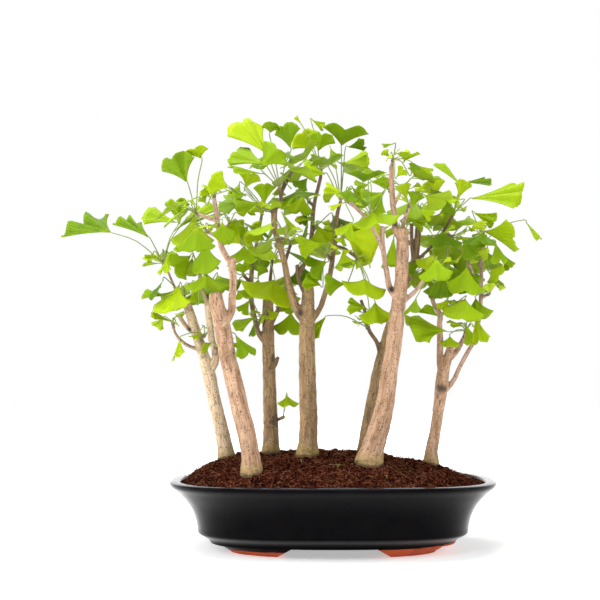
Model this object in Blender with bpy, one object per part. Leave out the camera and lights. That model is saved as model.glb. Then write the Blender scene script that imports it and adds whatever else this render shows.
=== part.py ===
"""A ginkgo bonsai: seven young trees planted as a small forest in an oval glazed tray, in spring leaf.

Metres, +Z up, the front towards -Y. The tray, the soil, the wood of each tree and each leaf spray are
separate solids. The layout is worked out about the tray's centre on the ground, then the whole is moved so
that the origin lies under the middle of its bounding box.
"""

import math
import random

import bpy
from mathutils import Matrix, Vector
from mathutils.bvhtree import BVHTree

# Where the tray's centre stands, so that the bounding box is centred on the origin
TRAY_CENTRE = Vector((0.0389, 0.0, 0.0))

# The tray
TRAY_HALF_LENGTH = 0.200
TRAY_HALF_DEPTH = 0.150
TRAY_HEIGHT = 0.0875
PLAN_POWER = 2.5
END_SAG = 0.004
TRAY_SEGMENTS = 32
FOOT_SEGMENTS = 20
RIM_WIDTH = 0.014
FLOOR_TOP = 0.022
FLOOR_UNDERSIDE = 0.012
FOOT_INSET_LENGTH = 0.070
FOOT_INSET_DEPTH = 0.066
FOOT_WIDTH = 0.020
FOOT_BEVEL = 0.004
FOOT_BEVEL_HEIGHT = 0.003
FOOT_LEAN = 0.015
FOOT_LEAN_INSIDE = 0.002
FOOT_JOIN = 0.004
ARCH_HALF_LENGTH = 0.067
ARCH_HALF_DEPTH = 0.038
ARCH_TOP = 0.0115
ARCH_SLOPE = 0.017
DRAIN_RADIUS = 0.009
DRAIN_OFFSET = 0.080
DRAIN_SIDES = 12

# The soil: a mound that is fuller at the left, falls towards the front and dips between trees 6 and 7
GAP = 0.0003
SOIL_CLEARANCE = 0.0006
SOIL_EDGE_HEIGHT = 0.0815
SOIL_CREST = 0.0345
SOIL_SHOULDER = 3.9
SOIL_SHOULDER_LEFT = 1.9
SOIL_FRONT_FALL = 0.010
SOIL_DIP = 0.005
SOIL_DIP_X = 0.088
SOIL_DIP_WIDTH = 0.028
SOIL_LUMP = 0.0012
SOIL_LUMPS_ALONG = 61
SOIL_LUMPS_DEEP = 74
SOIL_RINGS = (1.0, 0.92, 0.78, 0.55, 0.25)
TRUNK_SOCKET_DEPTH = 0.028
SOCKET_GAP = 0.00042

# The wood: the sides of thick and thin limbs
THICK_TRUNK = 16
THICK_SIDES = 8
THIN_SIDES = 6
BRANCH_SIDES = 5
SPUR_SIDES = 4
SPUR_RADIUS = 0.0020

# The buds that the leaves grow from
HUB_LENGTH = 0.0060
HUB_RADIUS = 0.0026

# The leaf stalks
STALK_RADIUS = 0.0007
STALK_NECK = 0.005
NECK_HALF_WIDTH = 0.0009
SHORT_STALK = 0.045
STALK_BOW = 0.04
STALK_BOW_BACK = 0.20
STALK_ARCH = 0.08

# The blades: lengths are shares of the leaf's length
BLADE_THICKNESS = 0.0007
LOBE_REACH = 1.14
CORNER_FALL = 0.10
CORNER_REACH = LOBE_REACH - CORNER_FALL
EDGE_UNEVEN = 0.05
NOTCH = (0.12, 0.34)
WAVE = (0.03, 0.09)
CUP = 0.16
CORNER_ROUNDS = 5
EDGE_STEPS = 4
BIG_LEAF = 0.042
BIG_EDGE_STEPS = 6

# The leaves placed by rule
LEAF_CLEARANCE = 0.0009
BLADE_ROOT = 0.001
RULED_TRIES = 24
RULED_RISE = (-0.1, 0.9)
RULED_OUTWARD = 0.6
RULED_STALK = (0.016, 0.038)
RULED_LENGTH = (0.023, 0.037)
RULED_SPREAD = (46, 66)
RULED_TURN = 0.5
HIGH_LEAVES = 0.40
DROOP_LOW_DOWN = (10, 75)
DROOP_HIGH_UP = (-15, 45)

# The front view: the eye's place beside and above the tray's centre, and the grid that places are read on,
# in steps of this many metres at the tray's centre
EYE_X = -0.040
EYE_Z = 0.235
EYE_DISTANCE = 1.600
GRID_STEP = 0.001242
GRID_COLUMN = 300
GRID_ROW = 357

UP = Vector((0.0, 0.0, 1.0))
TOWARDS_EYE = Vector((0.0, -1.0, 0.0))


def step_at(depth):
    """The size of one step of the front view's grid at this depth behind the tray's centre."""
    return GRID_STEP * (EYE_DISTANCE + depth) / EYE_DISTANCE


def seen(place, depth):
    """The point at this depth that the front view shows at this place, a column and a row."""
    step = step_at(depth)
    return Vector((EYE_X + (place[0] - GRID_COLUMN) * step, depth, EYE_Z - (place[1] - GRID_ROW) * step))


def place_of(point):
    """The column and row of the front view at which a point is seen."""
    step = step_at(point.y)
    return GRID_COLUMN + (point.x - EYE_X) / step, GRID_ROW - (point.z - EYE_Z) / step


def across(direction):
    """A unit vector at right angles to this direction, level where it can be."""
    level = direction.cross(UP)
    if level.length < 1e-3:
        level = direction.cross(TOWARDS_EYE)
    return level.normalized()


def tube(points, radii, sides):
    """The vertices and faces of a closed limb along these points, with a round limb's girth."""
    verts = []
    faces = []
    fuller = math.pi / (sides * math.sin(math.pi / sides))
    side = across(points[1] - points[0])
    for i, (point, radius) in enumerate(zip(points, radii)):
        ahead = (points[min(i + 1, len(points) - 1)] - points[max(i - 1, 0)]).normalized()
        side = (side - ahead * side.dot(ahead)).normalized()
        other = ahead.cross(side)
        for k in range(sides):
            turn = math.tau * k / sides
            verts.append(point + (side * math.cos(turn) + other * math.sin(turn)) * radius * fuller)
    for i in range(len(points) - 1):
        for k in range(sides):
            a = i * sides + k
            b = i * sides + (k + 1) % sides
            faces.append((a, b, b + sides, a + sides))
    last = (len(points) - 1) * sides
    faces.append(tuple(reversed(range(sides))))
    faces.append(tuple(range(last, last + sides)))
    return verts, faces


def leaf_shape(stalk, axis, side, length, spread, seed, thickness, radius):
    """The vertices and faces of a leaf: a three-sided stalk that opens into a waved and notched fan."""
    draw = random.Random(seed)
    normal = side.cross(axis)
    half = normal * thickness / 2
    joint = stalk[-1]
    notch = draw.uniform(*NOTCH)
    rise = draw.uniform(*WAVE)
    verts = stalk_corners(stalk, axis, side, radius)
    left = len(verts)
    right = left + 1
    under = left + 2
    first = left + 3
    verts += [joint - side * NECK_HALF_WIDTH + half, joint + side * NECK_HALF_WIDTH + half, joint - half]
    faces = [(0, 2, 1)]
    for ring in range(len(stalk) - 1):
        for a, b in ((0, 1), (1, 2), (2, 0)):
            a += 3 * ring
            b += 3 * ring
            faces += [(a, b, b + 3), (a, b + 3, a + 3)]
    steps = BIG_EDGE_STEPS if length > BIG_LEAF else EDGE_STEPS
    middle = steps // 2
    for i in range(steps + 1):
        share = i / middle - 1
        turn = math.radians(spread) * share
        reach = LOBE_REACH - CORNER_FALL * share ** 2 + draw.uniform(-EDGE_UNEVEN, EDGE_UNEVEN)
        if i == middle:
            reach = LOBE_REACH - notch
        lift = rise * (-1) ** i - CUP * share ** 2
        along = axis * reach * math.cos(turn)
        wide = side * reach * math.sin(turn)
        edge = joint + (along + wide + normal * lift) * length
        verts += [edge + half, edge - half]
    for i in range(steps):
        top = first + 2 * i
        below = top + 1
        faces.append((left if i < middle else right, top + 2, top))
        faces.append((under, below, below + 2))
        faces += [(top, top + 2, below + 2), (top, below + 2, below)]
    last = first + 2 * steps
    faces.append((left, right, first + 2 * middle))
    faces += [(left, first, first + 1), (left, first + 1, under)]
    faces += [(right, last + 1, last), (right, under, last + 1)]
    return verts, faces


def stalk_corners(stalk, axis, side, radius):
    """The three corners of the stalk at each of its points before the blade, turned as the blade is."""
    ways = [(b - a).normalized() for a, b in zip(stalk, stalk[1:])]
    corners = []
    ahead = axis
    for i in range(len(stalk) - 2, -1, -1):
        way = (ways[i] + ways[max(i - 1, 0)]).normalized()
        side = ahead.rotation_difference(way) @ side
        ahead = way
        up = side.cross(ahead) * radius
        wide = side * radius * math.sin(math.tau / 3)
        corners = [stalk[i] - wide + up / 2, stalk[i] + wide + up / 2, stalk[i] - up] + corners
    return corners


def stalk_points(hub, out, joint, axis):
    """The curve of a leaf stalk from inside the hub to its blade, which it meets along the blade's axis."""
    neck = joint - axis * STALK_NECK
    reach = (neck - hub).length
    behind = max(0.0, -(neck - hub).normalized().dot(out))
    bow = out * (STALK_BOW + STALK_BOW_BACK * behind) + UP * STALK_ARCH
    middle = hub.lerp(neck, 0.5) + bow * reach
    root = hub + (middle - hub).normalized() * HUB_RADIUS * 0.5
    bent = reach > SHORT_STALK or behind > 0
    return [root, middle, neck, joint] if bent else [root, neck, joint]


def nearest_on(limbs, place):
    """The point on the centre lines of these limbs that the front view shows nearest to a place."""
    best = None
    for points, radii, sides in limbs:
        for a, b in zip(points, points[1:]):
            for k in range(9):
                point = a.lerp(b, k / 8)
                column, row = place_of(point)
                away = math.hypot(column - place[0], row - place[1])
                if best is None or away < best[0]:
                    best = (away, point)
    return best[1]


class Leaf:
    """One leaf: where its blade joins its stalk, and how the blade lies.

    The blade is given by its tip, roll and lean, or by the two corners that the front view shows and by
    whether it reaches away from the eye.
    """

    def __init__(self, joint, tip=None, spread=64, roll=0, lean=15, near=0, corners=None, away=False):
        self.joint = joint
        self.tip = tip
        self.spread = spread
        self.roll = roll
        self.lean = lean
        self.near = near
        self.corners = corners
        self.away = away

    def stand(self, hub, shift, turn):
        """The joint, axis, side and length of the blade, moved in depth by the shift and rolled by the turn."""
        joint = seen(self.joint, hub.y - self.near / 1000 + shift)
        if self.corners:
            return self.between_corners(joint, turn)
        flat = seen(self.tip, joint.y)
        tip = seen(self.tip, joint.y - (flat - joint).length * math.tan(math.radians(self.lean)))
        axis = (tip - joint).normalized()
        side = axis.cross(TOWARDS_EYE).normalized()
        side = Matrix.Rotation(math.radians(self.roll + turn), 3, axis) @ side
        return joint, axis, side, (tip - joint).length

    def between_corners(self, joint, turn):
        """The lie of a true cupped fan whose two corners are seen where they are given."""
        flat = [seen(corner, joint.y) - joint for corner in self.corners]
        drop = Vector()
        for _ in range(CORNER_ROUNDS):
            axis, side, length = self.fan_through(flat[0] + drop, flat[1] + drop)
            drop = side.cross(axis) * CUP * length
            drop.y = 0.0
        return joint, axis, Matrix.Rotation(math.radians(turn), 3, axis) @ side, length

    def fan_through(self, first, second):
        """The axis, side and length of the flat fan whose corners, seen from the eye, are these."""
        half = math.radians(self.spread)
        along = (first + second) / (2 * CORNER_REACH * math.cos(half))
        wide = (second - first) / (2 * CORNER_REACH * math.sin(half))
        long = along.length_squared
        broad = wide.length_squared
        square = (long + broad + math.hypot(long - broad, 2 * along.dot(wide))) / 2
        forth = 1 if self.away else -1
        wide.y = -forth * math.copysign(math.sqrt(max(0.0, square - broad)), along.dot(wide))
        along.y = forth * math.sqrt(max(0.0, square - long))
        axis = along.normalized()
        side = (wide - axis * wide.dot(axis)).normalized()
        if side.cross(axis).dot(TOWARDS_EYE) < 0:
            side = -side
        return axis, side, math.sqrt(square)


class Spray:
    """A spur's leaves: the hub at its tip, the leaves placed one by one and the number of others."""

    def __init__(self, name, hub, out, leaves, more):
        self.name = name
        self.hub = hub
        self.out = out
        self.leaves = leaves
        self.more = more
        self.placed = []


class Tree:
    """One tree: its woody limbs and its leaf sprays."""

    def __init__(self, number):
        self.name = f"tree_{number}"
        self.limbs = []
        self.sprays = []

    def trunk(self, stations, foot_depth, top_depth):
        """The trunk through stations of column, row and width, from its foot in the soil to its cut top."""
        points, radii = self.course(stations, foot_depth, top_depth)
        foot = Vector((points[0].x * 0.93, points[0].y * 0.85, points[0].z - TRUNK_SOCKET_DEPTH))
        sides = THICK_SIDES if stations[0][2] > THICK_TRUNK else THIN_SIDES
        self.limbs.append(([foot] + points, [radii[0]] + radii, sides))

    def branch(self, stations, away=0):
        """A branch from the limb nearest to its first station, ending this many millimetres further back."""
        start = nearest_on(self.limbs, stations[0])
        points, radii = self.course(stations, start.y, start.y + away / 1000)
        points[0] = start
        self.limbs.append((points, radii, BRANCH_SIDES))

    def course(self, stations, first_depth, last_depth):
        points = []
        radii = []
        for i, (column, row, width) in enumerate(stations):
            depth = first_depth + (last_depth - first_depth) * i / (len(stations) - 1)
            points.append(seen((column, row), depth))
            radii.append(width * step_at(depth) / 2)
        return points, radii

    def spray(self, root, tip, away=0, leaves=(), more=0):
        """A spur from the limb nearest to its root to its tip, and the leaves that its hub bears."""
        start = nearest_on(self.limbs, root)
        end = seen(tip, start.y + away / 1000)
        self.limbs.append(([start, end], [SPUR_RADIUS * 1.2, SPUR_RADIUS], SPUR_SIDES))
        out = (end - start).normalized()
        hub = end + out * (GAP + HUB_LENGTH / 2)
        self.sprays.append(Spray(f"{self.name}_spray_{len(self.sprays) + 1}", hub, out, leaves, more))


def tree_at_the_left():
    """Tree 1: the thin leaning one at the left, behind tree 2."""
    tree = Tree(1)
    tree.trunk(((228, 460, 16), (224, 440, 15), (219.5, 420, 14), (214.5, 400, 13), (210.5, 380, 13),
                (207, 366, 13), (204, 356, 11), (197, 335, 10), (187, 304, 9)), 0.020, 0.015)
    tree.branch(((210, 372, 9), (215, 362, 8), (215, 352, 7), (211, 335, 7), (207, 300, 6.5)), -12)
    tree.branch(((193, 336, 5), (186, 326, 4.5), (178, 314, 4)), 8)
    tree.branch(((195, 352, 4), (187, 345, 3.5), (177, 336, 3), (173, 327, 2.5)), -6)
    tree.branch(((189, 312, 4), (180, 298, 3.2), (173, 284, 2.8), (167, 270, 2.6)), -14)
    tree.branch(((207, 306, 4.5), (203, 292, 3.6), (200, 278, 3)), -20)
    tree.spray(root=(167, 270), tip=(164, 265), more=1, leaves=(
        Leaf(joint=(110, 232), corners=((58, 240), (102, 212)), spread=36, away=True),
        Leaf(joint=(148, 237), corners=((110, 226), (136, 221)), spread=28, away=True, near=10),
        Leaf(joint=(157, 257), corners=((142, 258), (149, 254)), spread=26, near=14),
        Leaf(joint=(160, 263), corners=((145, 266), (148, 259)), spread=40),
        Leaf(joint=(175, 222), corners=((144, 226), (153, 206)), spread=34, away=True, near=16),
        Leaf(joint=(179, 223), corners=((165, 204), (191, 204)), spread=38, near=2),
        Leaf(joint=(168, 257), corners=((158, 273), (173, 271)), spread=34, near=22)))
    tree.spray(root=(203, 286), tip=(200, 274), away=-6, more=1, leaves=(
        Leaf(joint=(206, 242), corners=((190, 263), (223, 262)), spread=52, near=24),
        Leaf(joint=(190, 256), tip=(173, 268), spread=44, roll=12, lean=25, near=12),
        Leaf(joint=(182, 236), tip=(184, 250), spread=44, lean=20, near=4),
        Leaf(joint=(206, 274), corners=((184, 287), (229, 286)), spread=58, near=34),
        Leaf(joint=(196, 302), tip=(190, 297), spread=52, roll=40)))
    tree.spray(root=(188, 305), tip=(185, 299), away=-5, more=1, leaves=(
        Leaf(joint=(179, 285), corners=((152, 306), (195, 303)), spread=56, near=24),
        Leaf(joint=(164, 296), corners=((138, 299), (154, 290)), spread=20, away=True, near=6)))
    tree.spray(root=(173, 328), tip=(173, 325), leaves=(
        Leaf(joint=(172, 322), corners=((155, 321), (156, 314)), spread=40),))
    tree.spray(root=(197, 341), tip=(203, 337), away=-4, leaves=(
        Leaf(joint=(180, 339), corners=((173, 361), (187, 352)), spread=30, near=16),))
    tree.spray(root=(215, 354), tip=(216, 349), away=-7, leaves=(
        Leaf(joint=(227, 325), corners=((197, 343), (232, 351)), spread=50, near=98),
        Leaf(joint=(236, 336), corners=((235, 357), (255, 350)), spread=38, near=95)))
    tree.spray(root=(209, 318), tip=(205, 296), away=46, more=5)
    return tree


def tree_in_front_left():
    """Tree 2: the pale thick trunk in front at the left, with its forked right branch."""
    tree = Tree(2)
    tree.trunk(((252.5, 480, 21), (251.5, 465, 19.5), (250, 450, 18.5), (246, 430, 18.5), (240.5, 410, 18),
                (236, 390, 17.3), (231, 370, 17), (226.5, 350, 16.5), (223, 330, 17), (217, 305, 15),
                (215.5, 293, 13)), -0.088, -0.082)
    tree.branch(((228, 326, 9), (231, 312, 8), (232, 300, 7.5), (233, 280, 7.5), (231, 264, 7),
                 (226, 256, 6), (221, 246, 5.5), (218.5, 230, 5.5), (216, 212, 5), (214, 200, 4.5)), 4)
    tree.branch(((232, 270, 6), (234.5, 258, 5)), -4)
    tree.spray(root=(214, 203), tip=(214, 197), away=-2, more=1, leaves=(
        Leaf(joint=(227, 187), tip=(211, 178), spread=56, roll=25, lean=15, near=6),
        Leaf(joint=(209, 196), tip=(203, 188), spread=52, roll=30, near=4),
        Leaf(joint=(205, 202), tip=(201, 196), spread=52, roll=10, near=2)))
    tree.spray(root=(217, 222), tip=(198, 214), away=16, more=2, leaves=(
        Leaf(joint=(186, 181), corners=((160, 168), (197, 157)), spread=50),
        Leaf(joint=(200, 157), corners=((185, 154), (209, 148)), spread=60, near=8),
        Leaf(joint=(176, 229), corners=((184, 214), (217, 208)), spread=22, away=True, near=14)))
    tree.spray(root=(219, 238), tip=(208, 232), away=-14, more=3)
    tree.spray(root=(218.5, 232), tip=(228, 225), away=24, more=2, leaves=(
        Leaf(joint=(240, 243), tip=(226, 228), spread=56, roll=15, lean=20),
        Leaf(joint=(244, 246), tip=(243, 262), spread=52, lean=25)))
    return tree


def tree_at_the_back_left():
    """Tree 3: the brown one behind, with a dark branch to the left."""
    tree = Tree(3)
    tree.trunk(((271.5, 456, 16.5), (271, 430, 15.5), (270, 400, 13.5), (269.5, 380, 13), (268.5, 350, 12.5),
                (268, 320, 11.5), (268, 298, 10.5)), 0.012, 0.030)
    tree.branch(((264, 348, 6), (259, 334, 5.5), (255, 320, 5), (252, 305, 5), (251, 290, 5), (252, 265, 4.5),
                 (253, 250, 4)), 6)
    tree.branch(((271, 330, 5), (277, 312, 4.5), (282, 303, 4), (286, 293, 3.5)), 16)
    tree.branch(((272, 374, 5), (275, 365, 4.5), (278, 357, 3.5)), -4)
    tree.spray(root=(253, 253), tip=(256, 246), away=-5, more=1, leaves=(
        Leaf(joint=(264, 240), tip=(249, 229), spread=49, roll=10, lean=15, near=6),
        Leaf(joint=(247, 239), tip=(231, 228), spread=51, roll=12, lean=15, near=20),
        Leaf(joint=(246, 240), tip=(246, 254), spread=70, lean=30, near=10),
        Leaf(joint=(274, 280), tip=(268, 301), spread=72, roll=10, lean=45, near=24),
        Leaf(joint=(258, 280), tip=(256, 297), spread=49, lean=40, near=8)))
    tree.spray(root=(251, 284), tip=(245, 277), away=-4, leaves=(
        Leaf(joint=(243, 273), tip=(242, 263), spread=72, lean=-15, near=2),
        Leaf(joint=(238, 291), tip=(243, 297), spread=72, lean=20, near=6),
        Leaf(joint=(258, 276), tip=(264, 267), spread=42, roll=30)))
    tree.spray(root=(257, 327), tip=(260, 321), away=-8, leaves=(
        Leaf(joint=(256, 317), corners=((236, 320), (244, 333)), spread=44, near=4),
        Leaf(joint=(254, 324), corners=((249, 335), (257, 335)), spread=34, near=14),
        Leaf(joint=(249, 301), tip=(241, 312), spread=35, roll=20, lean=10)))
    tree.spray(root=(285, 295), tip=(288, 289), away=4, more=2, leaves=(
        Leaf(joint=(287, 301), tip=(284, 312), spread=49, lean=20, near=6),
        Leaf(joint=(291, 313), tip=(288, 334), spread=51, lean=15, near=14)))
    tree.spray(root=(272, 424), tip=(281, 418), away=-4, leaves=(
        Leaf(joint=(287, 396), corners=((277, 403), (299, 404)), spread=52),))
    tree.spray(root=(268, 300), tip=(272, 262), away=28, more=4)
    tree.spray(root=(252, 268), tip=(262, 212), away=46, more=5)
    return tree


def tree_in_the_centre():
    """Tree 4: the upright one in the middle, which carries the highest leaves."""
    tree = Tree(4)
    tree.trunk(((307.5, 460, 21.5), (308, 440, 19), (308.5, 420, 18), (308, 400, 17.5), (307.5, 380, 17),
                (307, 350, 16.2), (307, 320, 15.2), (308, 300, 13), (308, 287, 11.5)), -0.020, -0.010)
    tree.branch(((302, 322, 10), (296, 307, 9), (288, 281, 7), (285, 265, 6), (281, 250, 6), (275, 230, 6),
                 (274, 215, 6.2), (275, 207, 6.5), (280, 200, 4), (282, 190, 3.4), (285, 179, 2.8)), -22)
    tree.branch(((302, 300, 5), (299, 280, 4.5), (297, 265, 4)), 14)
    tree.branch(((299, 276, 4.5), (305, 262, 4.5), (309, 250, 4.5), (312, 232, 4.5), (313, 215, 4.2),
                 (315, 200, 4), (318, 188, 3.8), (321, 176, 3.4)), 44)
    tree.branch(((312, 326, 7), (319, 310, 5.5), (324, 297, 5.5), (330, 275, 5.2), (333, 255, 5),
                 (335, 240, 4.8), (336, 225, 4.4), (338, 210, 4)), 8)
    tree.branch(((334, 246, 3.5), (344, 248, 3), (350, 252, 2.8)), -16)
    tree.spray(root=(275, 211), tip=(268, 210), away=-3, more=1, leaves=(
        Leaf(joint=(258, 203), tip=(236, 205), spread=39, roll=38, lean=15, near=8),
        Leaf(joint=(264, 203), tip=(264, 184), spread=35, roll=5, lean=-5, near=2),
        Leaf(joint=(246, 186), tip=(251, 172), spread=51, roll=8, lean=15, near=14),
        Leaf(joint=(239, 184), tip=(233, 196), spread=42, roll=30, near=0)))
    tree.spray(root=(281, 196), tip=(280, 190), away=-4, more=1, leaves=(
        Leaf(joint=(266, 152), corners=((225, 135), (262, 121)), spread=34, away=True, near=2),
        Leaf(joint=(263, 163), corners=((228, 165), (248, 143)), spread=30, away=True, near=22),
        Leaf(joint=(262, 165), tip=(277, 147), spread=49, roll=-14, lean=15, near=30),
        Leaf(joint=(270, 131), tip=(272, 121), spread=72, roll=25, near=10),
        Leaf(joint=(290, 146), corners=((275, 132), (301, 129)), spread=50, near=6),
        Leaf(joint=(262, 173), corners=((230, 168), (240, 179)), spread=24, near=14)))
    tree.spray(root=(321, 178), tip=(321, 172), away=-3, more=1, leaves=(
        Leaf(joint=(306, 158), tip=(302, 150), spread=72, lean=66, near=4),
        Leaf(joint=(312, 149), tip=(301, 132), spread=56, roll=20, lean=10, near=-4),
        Leaf(joint=(319, 149), tip=(322, 132), spread=58, roll=-10, lean=15, near=10),
        Leaf(joint=(307, 178), tip=(298, 187), spread=44, roll=22, lean=15, near=22),
        Leaf(joint=(313, 119), tip=(323, 126), spread=26, roll=45, near=0),
        Leaf(joint=(300, 121), tip=(296, 115), spread=28, roll=40, near=4)))
    tree.spray(root=(315, 206), tip=(310, 202), away=-6, more=1, leaves=(
        Leaf(joint=(303, 196), tip=(299, 213), spread=49, lean=20, near=12),
        Leaf(joint=(296, 192), tip=(288, 209), spread=35, roll=10, lean=15, near=6),
        Leaf(joint=(307, 208), tip=(303, 223), spread=19, lean=10, near=2)))
    tree.spray(root=(313, 232), tip=(315, 228), away=-10, more=2, leaves=(
        Leaf(joint=(318, 226), tip=(326, 244), spread=56, roll=-8, lean=15, near=4),))
    tree.spray(root=(338, 212), tip=(340, 204), away=-4, more=1, leaves=(
        Leaf(joint=(328, 164), tip=(327, 157), spread=74, lean=68, near=20),
        Leaf(joint=(342, 144), corners=((321, 127), (368, 134)), spread=50, near=6),
        Leaf(joint=(349, 146), tip=(365, 144), spread=39, roll=60, near=2),
        Leaf(joint=(345, 162), tip=(367, 156), spread=35, roll=-40, lean=10, near=-6),
        Leaf(joint=(325, 173), tip=(306, 167), spread=39, roll=38, lean=20, near=12),
        Leaf(joint=(331, 148), tip=(335, 160), spread=35, roll=25, near=-12)))
    tree.spray(root=(335, 242), tip=(341, 239), away=-6, more=1, leaves=(
        Leaf(joint=(346, 234), tip=(374, 249), spread=51, roll=10, lean=25, near=4),
        Leaf(joint=(350, 229), tip=(372, 228), spread=46, roll=20, lean=15, near=-6)))
    tree.spray(root=(350, 252), tip=(355, 256), away=-3, more=1, leaves=(
        Leaf(joint=(365, 279), tip=(364, 297), spread=77, roll=4, lean=36, near=20),
        Leaf(joint=(344, 284), tip=(326, 284), spread=39, roll=15, lean=20, near=8),
        Leaf(joint=(375, 303), tip=(377, 322), spread=56, roll=-6, lean=20, near=10),
        Leaf(joint=(366, 308), tip=(349, 305), spread=32, roll=20, near=4)))
    tree.spray(root=(332, 260), tip=(328, 256), away=-8, more=1, leaves=(
        Leaf(joint=(322, 244), tip=(299, 245), spread=37, roll=32, lean=20, near=14),
        Leaf(joint=(326, 262), tip=(309, 268), spread=51, roll=20, lean=25, near=4),
        Leaf(joint=(320, 285), tip=(306, 278), spread=49, roll=30, lean=15, near=8),
        Leaf(joint=(343, 252), tip=(345, 268), spread=46, roll=20, lean=15, near=4)))
    tree.spray(root=(285, 262), tip=(290, 246), away=26, more=4)
    tree.spray(root=(278, 241), tip=(285, 238), away=-22, more=3, leaves=(
        Leaf(joint=(287, 225), tip=(286, 235), spread=67, lean=25, near=-14),
        Leaf(joint=(283, 214), tip=(291, 229), spread=16, roll=20, near=-20)))
    tree.spray(root=(282, 190), tip=(292, 170), away=34, more=4)
    return tree


def tree_behind_the_right():
    """Tree 5: the brown one that stands behind tree 6."""
    tree = Tree(5)
    tree.trunk(((363, 455, 12), (366, 430, 11.5), (370, 410, 11.5), (374, 390, 11), (378, 370, 11),
                (386, 340, 10), (395, 310, 9), (405, 285, 8), (415, 258, 7), (418, 236, 6.5),
                (419, 223, 6)), 0.048, 0.040)
    tree.branch(((381, 358, 5), (377, 343, 4.2), (369, 330, 4), (366, 315, 3.8), (361, 300, 3.4)), -10)
    tree.branch(((414, 260, 4.5), (412, 240, 4), (412, 223, 3.8)), -8)
    tree.branch(((413, 264, 4), (424, 254, 3.4), (433, 245, 3), (443, 232, 2.8), (450, 221, 2.6)), -14)
    tree.spray(root=(371, 333), tip=(368, 329), away=-5, leaves=(
        Leaf(joint=(325, 318), tip=(310, 333), spread=28, roll=30, lean=10, near=34),
        Leaf(joint=(361, 312), tip=(354, 306), spread=35, roll=30)))
    tree.spray(root=(450, 222), tip=(452, 217), away=-3, more=1, leaves=(
        Leaf(joint=(473, 198), corners=((517, 183), (509, 215)), spread=36, near=8),
        Leaf(joint=(461, 184), corners=((434, 165), (452, 166)), spread=24, away=True, near=-4),
        Leaf(joint=(464, 182), corners=((496, 184), (481, 178)), spread=18, away=True, near=2),
        Leaf(joint=(459, 197), corners=((453, 183), (472, 185)), spread=46, near=-2),
        Leaf(joint=(437, 197), tip=(431, 180), spread=53, roll=10, lean=10, near=6),
        Leaf(joint=(441, 213), tip=(452, 206), spread=44, roll=10, lean=25, near=24),
        Leaf(joint=(462, 199), tip=(447, 197), spread=35, roll=50, near=18)))
    tree.spray(root=(418, 228), tip=(419, 217), away=-4, more=2, leaves=(
        Leaf(joint=(410, 219), tip=(424, 226), spread=28, roll=30, lean=15, near=26),))
    tree.spray(root=(433, 245), tip=(434, 240), away=-9, more=1, leaves=(
        Leaf(joint=(433, 254), tip=(431, 270), spread=65, lean=20, near=20),
        Leaf(joint=(419, 263), tip=(407, 269), spread=39, roll=10, lean=15, near=14)))
    tree.spray(root=(443, 232), tip=(447, 240), away=-6, more=1, leaves=(
        Leaf(joint=(462, 237), tip=(480, 250), spread=49, roll=-10, lean=25, near=30),
        Leaf(joint=(447, 264), tip=(456, 295), spread=56, roll=6, lean=25, near=24),
        Leaf(joint=(447, 286), tip=(429, 289), spread=39, roll=10, lean=25, near=30)))
    tree.spray(root=(405, 286), tip=(412, 276), away=20, more=3)
    tree.spray(root=(443, 232), tip=(452, 236), away=32, more=4)
    tree.spray(root=(416, 250), tip=(404, 236), away=34, more=3, leaves=(
        Leaf(joint=(394, 238), corners=((384, 266), (402, 264)), spread=30, near=6),))
    return tree


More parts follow.
